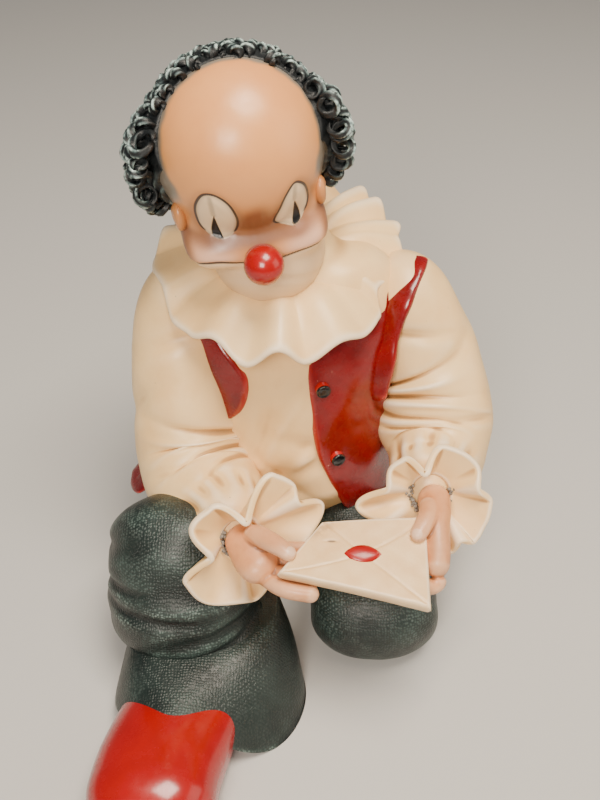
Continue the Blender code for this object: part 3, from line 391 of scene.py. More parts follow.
def point_normals(points: Array, faces: Array) -> Array:
    """Normals at the points: the sum of the normals of the faces around each.

    Args:
        points: The points.
        faces: Corners of the faces.

    Returns:
        Unit normals.
    """
    a, b, c, d = (points[k] for k in (*faces[:, :3].T, last_corners(faces)))
    across = np.cross(c - a, d - b)
    across = np.where((faces[:, 3] < 0)[:, None], np.cross(b - a, c - a), across)
    total = np.zeros_like(points)
    for column in range(4):
        held = faces[:, column] >= 0
        for axis in range(3):
            total[:, axis] += np.bincount(faces[held, column], weights=across[held, axis],
                minlength=len(points))
    return total / np.maximum(np.linalg.norm(total, axis=1), 1e-12)[:, None]


def hollows(surface: Surface, spread: int) -> Array:
    """How hollow the surface is at each point: minus its mean curvature in 1/mm, which is how far
    the middle of a point's neighbours lies out from it, over their distance squared, averaged
    again with its neighbours spread times.

    Args:
        surface: The surface, facing out.
        spread: How often the value is averaged.

    Returns:
        Positive in a fold, negative on a ridge.
    """
    points = surface.points
    pairs = corner_pairs(surface.faces)
    one, other = pairs.T
    count = np.bincount(pairs.ravel(), minlength=len(points)).astype(float)

    def beside(values: Array) -> Array:
        """The mean of each point's neighbours."""
        low = np.bincount(one, weights=values[other], minlength=len(points))
        return (low + np.bincount(other, weights=values[one], minlength=len(points))) / count

    middle = np.stack([beside(points[:, axis]) for axis in range(3)], axis=-1)
    length = ((points[one] - points[other]) ** 2).sum(axis=1)
    square = np.bincount(one, weights=length, minlength=len(points))
    square = (square + np.bincount(other, weights=length, minlength=len(points))) / count
    normal = point_normals(points, surface.faces)
    value = 4 * ((middle - points) * normal).sum(axis=1) / np.maximum(square, 1e-6)
    value = np.clip(value, -3, 3)
    for _ in range(spread):
        value = 0.4 * value + 0.6 * beside(value)
    return value


def facing_out(surface: Surface) -> Surface:
    """Turns every face round if the closed surface holds a negative volume.

    Args:
        surface: A closed surface, or several side by side that are drawn alike.

    Returns:
        The surface, facing out.
    """
    centred = surface.points - surface.points.mean(axis=0)
    a, b, c, d = (centred[k] for k in (*surface.faces[:, :3].T, last_corners(surface.faces)))
    volume = (a * np.cross(b, c)).sum() + (a * np.cross(c, d)).sum()
    if volume >= 0:
        return surface
    quads = surface.faces[:, 3] >= 0
    turned = surface.faces[:, [2, 1, 0, 3]]
    turned[quads] = surface.faces[quads][:, ::-1]
    return Surface(surface.points, turned, surface.marks)


def make_piece(name: str, surface: Surface, finish: Finish, spread: int = 5) -> bpy.types.Object:
    """Turns a drawn surface into a smooth-shaded piece of the figurine.

    Args:
        name: The piece's name.
        surface: Its surface, in drawing millimetres.
        finish: Its paint.
        spread: How far the mark for hollows is averaged.

    Returns:
        The object.
    """
    surface.marks["hollow"] = hollows(surface, spread)
    low, high = np.array(CAD_BOX)
    points = np.clip((surface.points + DRAWING_SHIFT) * MM, low, high)
    mesh = mesh_of(name, points, surface.faces)
    for mark, values in surface.marks.items():
        mesh.attributes.new(mark, "FLOAT", "POINT").data.foreach_set("value", values.astype(np.float32))
    piece = bpy.data.objects.new(name, mesh)
    bpy.context.scene.collection.objects.link(piece)
    mesh.materials.append(finish.material())
    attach(piece, BODY)
    LOG.info("%s: %d points, %d faces", name, len(points), len(surface.faces))
    return piece


def mesh_of(name: str, points: Array, faces: Array) -> bpy.types.Mesh:
    """Fills a Blender mesh from arrays.

    Args:
        name: The mesh's name.
        points: Its points.
        faces: Its faces, of four corners, or of three and NO_CORNER.

    Returns:
        The mesh.
    """
    mesh = bpy.data.meshes.new(name)
    corners = np.where(faces[:, 3] >= 0, 4, 3)
    loops = faces[faces >= 0]
    mesh.vertices.add(len(points))
    mesh.vertices.foreach_set("co", points.astype(np.float32).ravel())
    mesh.loops.add(len(loops))
    mesh.loops.foreach_set("vertex_index", loops.astype(np.int32))
    mesh.polygons.add(len(faces))
    mesh.polygons.foreach_set("loop_start", (np.cumsum(corners) - corners).astype(np.int32))
    mesh.polygons.foreach_set("use_smooth", np.ones(len(faces), bool))
    mesh.update(calc_edges=True)
    mesh.validate()
    return mesh


def fused(surface: Surface, voxel_mm: float, relax: int) -> Surface:
    """Melts overlapping closed surfaces into one skin, as clay is smoothed over a joint.

    Args:
        surface: The surfaces, in drawing millimetres.
        voxel_mm: The new faces' size.
        relax: How often the skin is smoothed.

    Returns:
        The skin, without marks.
    """
    mesh = mesh_of("fusing", surface.points * MM, surface.faces)
    blank = bpy.data.objects.new("fusing", mesh)
    bpy.context.scene.collection.objects.link(blank)
    melt = blank.modifiers.new("melt", "REMESH")
    melt.mode = "VOXEL"
    melt.voxel_size = voxel_mm * MM
    soften = blank.modifiers.new("soften", "SMOOTH")
    soften.factor = 0.5
    soften.iterations = relax
    graph = bpy.context.evaluated_depsgraph_get()
    made = bpy.data.meshes.new_from_object(blank.evaluated_get(graph))
    points = np.empty(len(made.vertices) * 3, np.float32)
    made.vertices.foreach_get("co", points)
    loops = np.empty(len(made.loops), np.int32)
    made.loops.foreach_get("vertex_index", loops)
    totals = np.empty(len(made.polygons), np.int32)
    made.polygons.foreach_get("loop_total", totals)
    starts = np.cumsum(totals) - totals
    faces = np.full((len(totals), 4), NO_CORNER)
    for corner in range(4):
        held = totals > corner
        faces[held, corner] = loops[starts[held] + corner]
    bpy.data.objects.remove(blank)
    bpy.data.meshes.remove(mesh)
    bpy.data.meshes.remove(made)
    return Surface(points.reshape(-1, 3).astype(float) / MM, faces)


def unit(vectors: Array) -> Array:
    """The vectors at length one."""
    vectors = np.asarray(vectors, float)
    return vectors / np.maximum(np.linalg.norm(vectors, axis=-1, keepdims=True), 1e-12)


def turned(vectors: Array, axis: Array, degrees: float) -> Array:
    """Turns vectors about an axis through zero by the right-hand rule.

    Args:
        vectors: The vectors.
        axis: The axis.
        degrees: The angle.

    Returns:
        The turned vectors.
    """
    axis = unit(axis)
    vectors = np.asarray(vectors, float)
    cosine, sine = math.cos(math.radians(degrees)), math.sin(math.radians(degrees))
    along = (vectors @ axis)[..., None] * axis
    return vectors * cosine + np.cross(axis, vectors) * sine + along * (1 - cosine)


def smooth_rows(rows: tuple, count: int, closed: bool = False) -> Array:
    """Catmull-Rom interpolation of each column of rows: between two rows, the cubic whose slope
    at each row is half the difference of the rows on either side.

    Args:
        rows: The rows.
        count: How many even steps are wanted.
        closed: Whether the last row runs on into the first.

    Returns:
        The dense rows.
    """
    rows = np.asarray(rows, float)
    if closed:
        rows = np.vstack([rows, rows[:1]])
        padded = np.vstack([rows[-2:-1], rows, rows[1:2]])
    else:
        padded = np.vstack([2 * rows[0] - rows[1], rows, 2 * rows[-1] - rows[-2]])
    position = np.linspace(0, len(rows) - 1, count, endpoint=not closed)
    index = np.minimum(position.astype(int), len(rows) - 2)
    t = (position - index)[:, None]
    before, start, end, after = (padded[index + k] for k in range(4))
    return 0.5 * (2 * start + (end - before) * t + (2 * before - 5 * start + 4 * end - after) * t**2
        + (3 * start - before - 3 * end + after) * t**3)


def unevenness(points: Array, length: float, seed: int) -> Array:
    """Hand-made waviness: the mean of eight sine waves of about one length and any direction.

    Args:
        points: The points.
        length: About how long the waves are.
        seed: Which waves.

    Returns:
        Values between -1 and 1.
    """
    chance = np.random.default_rng(seed)
    ways = unit(chance.normal(size=(8, 3))) * (2 * math.pi / length) * chance.uniform(0.7, 1.5, (8, 1))
    phases = chance.uniform(0, 2 * math.pi, 8)
    return np.sin(points @ ways.T + phases).mean(axis=-1) * 1.6


@dataclass(frozen=True)
class Fold:
    """A soft ridge in cloth, or a crease if its height is negative."""

    along: float  # place, as a share of the limb's length
    around: float  # place round the limb, in degrees
    length: float  # half width along the limb, as a share
    spread: float  # how far round it reaches, in degrees
    height: float  # in millimetres
    slant: float = 0.0  # how far it moves along for each 90 degrees round
    sharp: bool = False  # a crease with a narrow bottom


@dataclass(frozen=True)
class Limb:
    """A closed loft along a smooth path, such as a sleeve or a finger.

    A cross-section is a superellipse: half width times sgn(cos a) |cos a|^(2/n) to the side, and
    half height times sgn(sin a) |sin a|^(2/n) upwards. Each end is rounded as a quarter ellipse.
    """

    rows: tuple  # x, y, z, half width, half height
    across: tuple[float, float, float]  # the way the half width lies
    along_count: int
    round_count: int
    folds: tuple[Fold, ...] = ()
    round_ends: tuple[float, float] = (1.0, 1.0)
    squareness: float = 2.0
    waviness: float = 0.0
    wave_length: float = 14.0

    def relief(self, share: Array, angle: Array) -> Array:
        """Height of the folds: the sum of height exp(-l^2 - s^2), with l the distance along and s
        the turn around, each over the fold's reach. A sharp one has exp(-|l| - s^2).

        Args:
            share: How far along, 0 to 1.
            angle: How far round, in radians.

        Returns:
            The height in millimetres.
        """
        total = np.zeros(np.broadcast(share, angle).shape)
        for fold in self.folds:
            turn = (angle - math.radians(fold.around) + math.pi) % (2 * math.pi) - math.pi
            lengthways = (share - fold.along - fold.slant * turn / (math.pi / 2)) / fold.length
            sideways = (turn / math.radians(fold.spread)) ** 2
            if fold.sharp:
                total += fold.height * np.exp(-np.sqrt(lengthways**2 + 0.04) + 0.2 - sideways)
            else:
                total += fold.height * np.exp(-(lengthways**2) - sideways)
        return total

    def surface(self) -> Surface:
        """Draws the limb.

        Returns:
            The closed surface.
        """
        dense = smooth_rows(self.rows, PATH_STEPS)
        steps = np.linalg.norm(np.diff(dense[:, :3], axis=0), axis=1)
        length = np.concatenate([[0], np.cumsum(steps)])
        first = max(self.round_ends[0] * dense[0, 3] / length[-1], 1e-4)
        last = max(self.round_ends[1] * dense[-1, 3] / length[-1], 1e-4)
        even = np.linspace(0, 1, self.along_count)
        share = END_CROWDING * (0.5 - 0.5 * np.cos(even * math.pi)) + (1 - END_CROWDING) * even
        path = np.column_stack([np.interp(share, length / length[-1], c) for c in dense.T])
        centre = path[:, :3]
        tangent = unit(np.gradient(centre, axis=0))
        across = np.asarray(self.across, float)
        side = unit(across - (tangent @ across)[:, None] * tangent)
        other = np.cross(tangent, side)
        taper = (round_edge(share / first) * round_edge((1 - share) / last))[:, None]
        angle = angles(self.round_count)[None, :]
        circle = np.stack([np.cos(angle), np.sin(angle)])
        cosine, sine = np.sign(circle) * np.abs(circle) ** (2 / self.squareness)
        relief = self.relief(share[:, None], angle)
        if self.waviness:
            rough = centre[:, None] + side[:, None] * (path[:, 3:4] * cosine)[..., None]
            rough = rough + other[:, None] * (path[:, 4:5] * sine)[..., None]
            relief = relief + self.waviness * unevenness(rough, self.wave_length, len(self.rows))
        wide = (path[:, 3:4] + relief) * taper
        high = (path[:, 4:5] + relief) * taper
        ring = centre[:, None] + side[:, None] * (wide * cosine)[..., None]
        return round_grid(ring + other[:, None] * (high * sine)[..., None])


def round_grid(ring: Array, marks: dict[str, Array] | None = None) -> Surface:
    """A closed surface from a grid that runs round its second direction. Its first and last rows
    become one point each.

    Args:
        ring: Points, rows by columns.
        marks: Marks on the same grid.

    Returns:
        The surface, facing out.
    """
    rows, columns = ring.shape[:2]
    index = 1 + np.arange((rows - 2) * columns).reshape(rows - 2, columns)
    beside = np.roll(index, -1, axis=1)
    top = (rows - 2) * columns + 1
    none = np.full(columns, NO_CORNER)
    quads = np.stack([index[:-1], beside[:-1], beside[1:], index[1:]], axis=-1).reshape(-1, 4)
    first = np.stack([np.zeros(columns, int), beside[0], index[0], none], axis=-1)
    last = np.stack([index[-1], beside[-1], np.full(columns, top), none], axis=-1)
    points = [ring[0].mean(axis=0)[None], ring[1:-1].reshape(-1, 3), ring[-1].mean(axis=0)[None]]
    flat = {name: np.concatenate([[v[0].mean()], v[1:-1].ravel(), [v[-1].mean()]])
        for name, v in (marks or {}).items()}
    return facing_out(Surface(np.concatenate(points), np.concatenate([first, quads, last]), flat))


def walled(outer: Array, inner: Array, closed_round: bool, marks: dict | None = None) -> Surface:
    """A thin closed wall between two grids of one size.

    Args:
        outer: Points of one side, rows by columns.
        inner: Points of the other side.
        closed_round: Whether the last column runs on into the first.
        marks: Marks on the same grid, for both sides.

    Returns:
        The surface, facing out.
    """
    rows, columns = outer.shape[:2]
    front = np.arange(rows * columns).reshape(rows, columns)
    if closed_round:
        front = np.concatenate([front, front[:, :1]], axis=1)
    back = front + rows * columns

    def strip(a: Array, b: Array, c: Array, d: Array) -> Array:
        """Faces with these corners."""
        return np.stack([a, b, c, d], axis=-1).reshape(-1, 4)

    faces = [strip(front[:-1, :-1], front[:-1, 1:], front[1:, 1:], front[1:, :-1]),
        strip(back[:-1, :-1], back[1:, :-1], back[1:, 1:], back[:-1, 1:]),
        strip(back[0, :-1], back[0, 1:], front[0, 1:], front[0, :-1]),
        strip(front[-1, :-1], front[-1, 1:], back[-1, 1:], back[-1, :-1])]
    if not closed_round:
        faces.append(strip(front[:-1, 0], front[1:, 0], back[1:, 0], back[:-1, 0]))
        faces.append(strip(front[1:, -1], front[:-1, -1], back[:-1, -1], back[1:, -1]))
    flat = {name: np.concatenate([v.ravel(), v.ravel()]) for name, v in (marks or {}).items()}
    points = np.concatenate([outer.reshape(-1, 3), inner.reshape(-1, 3)])
    return facing_out(Surface(points, np.concatenate(faces), flat))


def sphere_grid(rings: int, columns: int) -> Array:
    """Unit vectors over a sphere: (sin p cos a, sin p sin a, -cos p).

    Args:
        rings: How many rows from pole to pole.
        columns: How many round.

    Returns:
        The vectors, rows by columns.
    """
    polar = np.linspace(0, math.pi, rings)[:, None]
    angle = angles(columns)[None, :]
    return np.stack([np.sin(polar) * np.cos(angle), np.sin(polar) * np.sin(angle),
        -np.cos(polar) + 0 * angle], axis=-1)


def ease(values: Array, low: float, high: float) -> Array:
    """A smooth step t^2 (3 - 2t) from 0 at low to 1 at high."""
    t = np.clip((values - low) / (high - low), 0, 1)
    return t * t * (3 - 2 * t)


def bell(values: Array, width: float) -> Array:
    """A bell curve exp(-(x / width)^2)."""
    return np.exp(-((values / width) ** 2))


def round_edge(share: Array, least: float = 0.0) -> Array:
    """A quarter circle sqrt(1 - (1 - t)^2) from 0 to 1, whose square is nowhere under least."""
    return np.sqrt(np.clip(1 - (1 - np.clip(share, 0, 1)) ** 2, least, 1))


def angles(count: int) -> Array:
    """Even angles once round, in radians."""
    return np.linspace(0, 2 * math.pi, count, endpoint=False)


def edge_values(table: tuple, angle: Array) -> Array:
    """Values round a ruffle's edge: between two of its turning points, they pass from one to the
    other as (1 - cos) / 2 does from 0 to 1.

    Args:
        table: Angle in degrees and the values at each turning point, in order round the edge.
        angle: Radians round it.

    Returns:
        Each value, first index, at each angle.
    """
    rows = np.asarray(table, float)
    places = np.append(rows[:, 0], rows[0, 0] + 360)
    values = np.vstack([rows[:, 1:], rows[:1, 1:]])
    turn = np.mod(np.degrees(angle) - places[0], 360) + places[0]
    index = np.clip(np.searchsorted(places, turn, side="right") - 1, 0, len(rows) - 1)
    share = (turn - places[index]) / (places[index + 1] - places[index])
    blend = ((1 - np.cos(math.pi * share)) / 2)[..., None]
    return np.moveaxis(values[index] * (1 - blend) + values[index + 1] * blend, -1, 0)


def line_distance(places: Array, line: Array) -> Array:
    """Distance from places to a line through points.

    Args:
        places: Where to measure, in any number of dimensions.
        line: The line's points.

    Returns:
        The distances.
    """
    start, edge = line[:-1], np.diff(line, axis=0)
    offset = places[:, None] - start
    share = np.clip((offset * edge).sum(-1) / (edge**2).sum(-1), 0, 1)
    return np.linalg.norm(offset - share[..., None] * edge, axis=-1).min(axis=1)


def outline_distance(places: Array, corners: tuple, smooth: bool = True) -> Array:
    """Distance from places in a plane to a closed outline.

    Args:
        places: Where to measure.
        corners: The outline's points.
        smooth: Whether the outline runs through them in a smooth curve.

    Returns:
        The distances, negative inside.
    """
    outline = smooth_rows(corners, 12 * len(corners), closed=True) if smooth else np.array(corners, float)
    outline = np.vstack([outline, outline[:1]])
    distance = line_distance(places, outline)
    (x0, y0), (x1, y1) = outline[:-1].T, outline[1:].T
    x, y = places[:, 0:1], places[:, 1:2]
    spans = (y0 > y) != (y1 > y)
    crosses = spans & (x < x0 + (y - y0) * (x1 - x0) / np.where(y1 == y0, 1e-9, y1 - y0))
    return np.where(crosses.sum(axis=1) % 2 == 1, -distance, distance)


@dataclass
class Head:
    """The bald head with its painted face, the ears and the nose.

    Places are given in the head's own right, front and up directions from the skull's centre."""

    centre: tuple = (-10.7, 0.6, 140.4)
    skull_radius: float = 22.0
    turn: float = 10.5
    nod: float = 19.0
    tilt: float = 6.5
    core: tuple = (0.0, 3.0, -5.0)
    blend: float = 2.2
    nose_place: tuple = (0.0, 29.5, -13.0)
    nose_radius: float = 5.1
    lumps: tuple = (((0.0, 0.0, 0.0), (22.0, 22.5, 22.0), 2.0),
        ((0.2, 11.0, -15.2), (18.9, 14.6, 7.4), 4.0), ((3.2, 13.0, -26.0), (15.5, 15.8, 15.0), 2.0),
        ((9.5, 9.5, -10.5), (8.5, 9.0, 8.0), 2.0), ((-9.0, 9.5, -10.5), (8.5, 9.0, 8.0), 2.0))
    ear_place: tuple = (18.2, 12.0, -9.0)
    ear_radii: tuple = (2.1, 3.4, 4.2)
    dome_grid: tuple[int, int] = (190, 240)
    search_reach: float = 60.0
    halvings: int = 22
    # The right one and then the left one, as right and up.
    eyes: tuple = (((-13.6, 0.5), (-11.6, 4.0), (-8.6, 4.4), (-5.8, 1.8), (-4.4, -3.5),
        (-5.4, -8.7), (-9.4, -10.1), (-13.2, -8.3), (-14.1, -4.0)),
        ((4.7, -7.6), (6.4, -3.0), (8.2, 0.6), (10.8, 2.9), (13.2, 0.6), (14.3, -3.9),
        (13.9, -7.4), (11.0, -10.0), (7.3, -9.4)))
    slits: tuple = (((-9.7, -1.8), (-11.3, -10.2), (-8.5, -10.2)),
        ((10.1, -1.8), (9.3, -10.2), (11.9, -10.2)))
    creases: tuple = (((-9.7, -1.8), (-9.9, 1.2), (-10.2, 3.4)), ((10.1, -1.8), (10.4, 0.4), (10.9, 2.0)))
    mouth: tuple = ((-17.6, -17.0), (-16.2, -16.0), (-14.4, -15.1), (-10.6, -14.6), (-5.2, -15.7),
        (0.2, -16.1), (5.3, -16.0), (9.9, -15.6), (14.0, -15.8), (16.6, -16.4), (18.2, -17.2))

    def axes(self) -> Array:
        """The head's right, front and up directions in the drawing.

        Returns:
            Three unit vectors.
        """
        right, front, up = np.eye(3)[0], -np.eye(3)[1], np.eye(3)[2]
        right, up = (turned(v, front, self.tilt) for v in (right, up))
        front, up = (turned(v, right, self.nod) for v in (front, up))
        return np.array([turned(v, (0, 0, 1), self.turn) for v in (right, front, up)])

    def point(self, local: Array) -> Array:
        """Places of the drawing from the head's own directions."""
        return np.asarray(self.centre) + np.asarray(local, float) @ self.axes()

    def field(self, local: Array) -> Array:
        """Smoothly joined distance to the lumps: -b log(sum exp(-d / b)), with b half the blend.
        The distance d to a lump is that to an ellipsoid, whose outline from above may be a
        superellipse |x|^n + |y|^n.

        Args:
            local: Places in the head's own directions.

        Returns:
            The distance, negative inside.
        """
        total = 0.0
        for centre, radii, power in self.lumps:
            offset = np.abs((local - centre) / radii)
            flat = (offset[..., 0] ** power + offset[..., 1] ** power) ** (1 / power)
            scaled = np.hypot(flat, offset[..., 2])
            steep = np.linalg.norm((local - centre) / np.square(radii), axis=-1)
            distance = np.linalg.norm(offset, axis=-1) * (scaled - 1) / np.maximum(steep, 1e-6)
            total = total + np.exp(-distance / self.blend * 2)
        return -np.log(total) * self.blend / 2

    def skin(self, directions: Array, start: Array) -> Array:
        """Where the field turns from inside to outside on the way out, found by halving.

        Args:
            directions: Ways out, one for each place.
            start: Where they start.

        Returns:
            The places on the skin.
        """
        low = np.zeros(directions.shape[:-1])
        high = np.full(directions.shape[:-1], self.search_reach)
        for _ in range(self.halvings):
            middle = (low + high) / 2
            inside = self.field(start + directions * middle[..., None]) < 0
            low, high = np.where(inside, middle, low), np.where(inside, high, middle)
        return start + directions * low[..., None]

    def face_marks(self, local: Array) -> dict[str, Array]:
        """Where the face's lines and tints lie, as distances in millimetres or amounts 0 to 1.

        Args:
            local: Points of the skin.

        Returns:
            Each mark's values.
        """
        right, front, up = local.T
        marks = {name: np.full(len(local), FAR) for name in (*FACE_LINES, "crease")}
        near = (front > 8) & (np.abs(right) < 20) & (up > -32) & (up < 8)
        flat = local[near][:, [0, 2]]
        eye = np.minimum(*(outline_distance(flat, outline) for outline in self.eyes))
        slit = np.minimum(*(outline_distance(flat, outline, smooth=False) for outline in self.slits))
        crease = np.minimum(*(line_distance(flat, np.array(line)) for line in self.creases))
        marks["eye_gap"][near] = eye
        marks["pupil_gap"][near] = np.maximum(slit, eye)
        marks["eye_line"][near] = np.abs(eye) + 0.6 * ease(-flat[:, 1], 8.2, 10.0)
        marks["crease"][near] = np.where(eye < -0.3, crease, FAR)
        marks["eye_shade"] = np.zeros(len(local))
        marks["eye_shade"][near] = (eye < 0) * np.maximum(bell(crease, 0.7), 0.8 * bell(eye, 1.0))
        lip = smooth_rows(self.mouth, 120)
        start = np.column_stack([lip[:, 0], np.full(120, 8.0), lip[:, 1]])
        curve = self.skin(np.broadcast_to([0.0, 1.0, 0.0], start.shape), start)
        marks["mouth_gap"][near] = line_distance(local[near], curve)
        above = up - np.interp(right, lip[:, 0], lip[:, 1])
        jaw = np.where(above < 0, 1.0, -1.0) * np.minimum(marks["mouth_gap"], 3.0)
        marks["jaw"] = np.where(front > 2, jaw, -3.0)
        nose_reach = np.linalg.norm(local - self.nose_place, axis=1) - self.nose_radius
        marks["nose_gap"] = np.minimum(nose_reach, FAR)
        cheeks = (bell(right + 12.0, 6.5) + bell(right - 12.0, 6.5)) * bell(up + 13.0, 3.6)
        marks["blush"] = np.clip(cheeks, 0, 1) * (front > 4)
        between = bell(right - 0.5, 4.2) * bell(up + 5.5, 5.5)
        under = 0.40 * bell(up + 10.8, 1.3) * ease(front, 8, 16)
        rim = 0.40 * bell(np.maximum(marks["eye_gap"], 0), 1.8)
        low = 0.30 * ease(-up, -6.0, 6.0) * ease(front, 6, 16)
        low = low + 0.55 * ease(np.abs(right), 15.5, 18.5) * ease(-up, 6.0, 11.0)
        upper = 1 - ease(marks["jaw"], -0.5, 0.5)
        marks["shade"] = np.clip((between + under + rim + low) * upper, 0, 1) * ease(front, 4, 12)
        return marks

    def face_relief(self, local: Array, marks: dict[str, Array]) -> Array:
        """Height of the face's carving: swollen eyes, a groove round them, the slit and the crease
        above it cut in, a groove along the mouth, small wrinkles between the brows and a groove
        across the chin.

        Args:
            local: Points of the skin.
            marks: The face's marks there.

        Returns:
            The height in millimetres.
        """
        right, front, up = local.T
        eye = marks["eye_gap"]
        height = 0.45 * ease(-eye, 0.0, 2.5)
        height -= 0.20 * bell(eye, 0.45)
        height -= 0.45 * ease(-marks["pupil_gap"], -0.15, 0.3)
        height -= 0.22 * bell(marks["crease"], 0.5)
        height -= 0.55 * bell(marks["mouth_gap"], 0.55)
        for place in (-1.3, 0.6, 2.3):
            height -= 0.10 * bell(right - place, 0.6) * bell(up + 5.0, 3.6) * (eye > 0)
        return height - 0.35 * bell(up + 21.5 + 0.030 * right**2, 1.1) * (front > 15)

    def dome(self) -> Surface:
        """The head's skin with the face carved into it.

        Returns:
            The surface with the face's marks.
        """
        ball = sphere_grid(*self.dome_grid)
        ways = np.stack([ball[..., 0], ball[..., 2], -ball[..., 1]], axis=-1)
        local = self.skin(ways, np.asarray(self.core, float))
        flat = local.reshape(-1, 3)
        marks = self.face_marks(flat)
        relief = self.face_relief(flat, marks).reshape(self.dome_grid)
        local = local + ways * relief[..., None]
        marks["fringe"] = Hair(self).fringe(flat)
        grids = {name: values.reshape(self.dome_grid) for name, values in marks.items()}
        return round_grid(self.point(local), grids)

    def ear(self, side: int) -> Surface:
        """An ear: an ellipsoid with a hollow pressed into its outer face.

        Args:
            side: 1 for the clown's left, -1 for the right.

        Returns:
            The surface.
        """
        ball = sphere_grid(40, 56)
        cup = bell(ball[..., 1] - 0.25, 0.4) * bell(ball[..., 2] + 0.05, 0.5)
        press = 0.55 * cup * ease(ball[..., 0] * side, 0.1, 0.7)
        local = ball * np.array(self.ear_radii) * (1 - press)[..., None]
        return round_grid(self.point(local + np.array(self.ear_place) * (side, 1, 1)))

    def nose(self) -> Surface:
        """The round nose, a very little wider than high."""
        ball = sphere_grid(70, 90) * self.nose_radius * np.array([1.0, 1.0, 0.985])
        return round_grid(self.point(np.asarray(self.nose_place) + ball))

    def make(self) -> None:
        """Makes the head's pieces."""
        dome = make_piece("bald_head", self.dome(), SKIN, 4)
        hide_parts("clown_figure")
        ears = joined([self.ear(side) for side in (-1, 1)])
        tints = {**dict.fromkeys(FACE_LINES, FAR), "jaw": -3.0, "shade": 0.45}
        ears.marks.update({mark: np.full(len(ears.points), value) for mark, value in tints.items()})
        make_piece("ears", ears, SKIN)
        make_piece("round_nose", self.nose(), SHOE_RED)


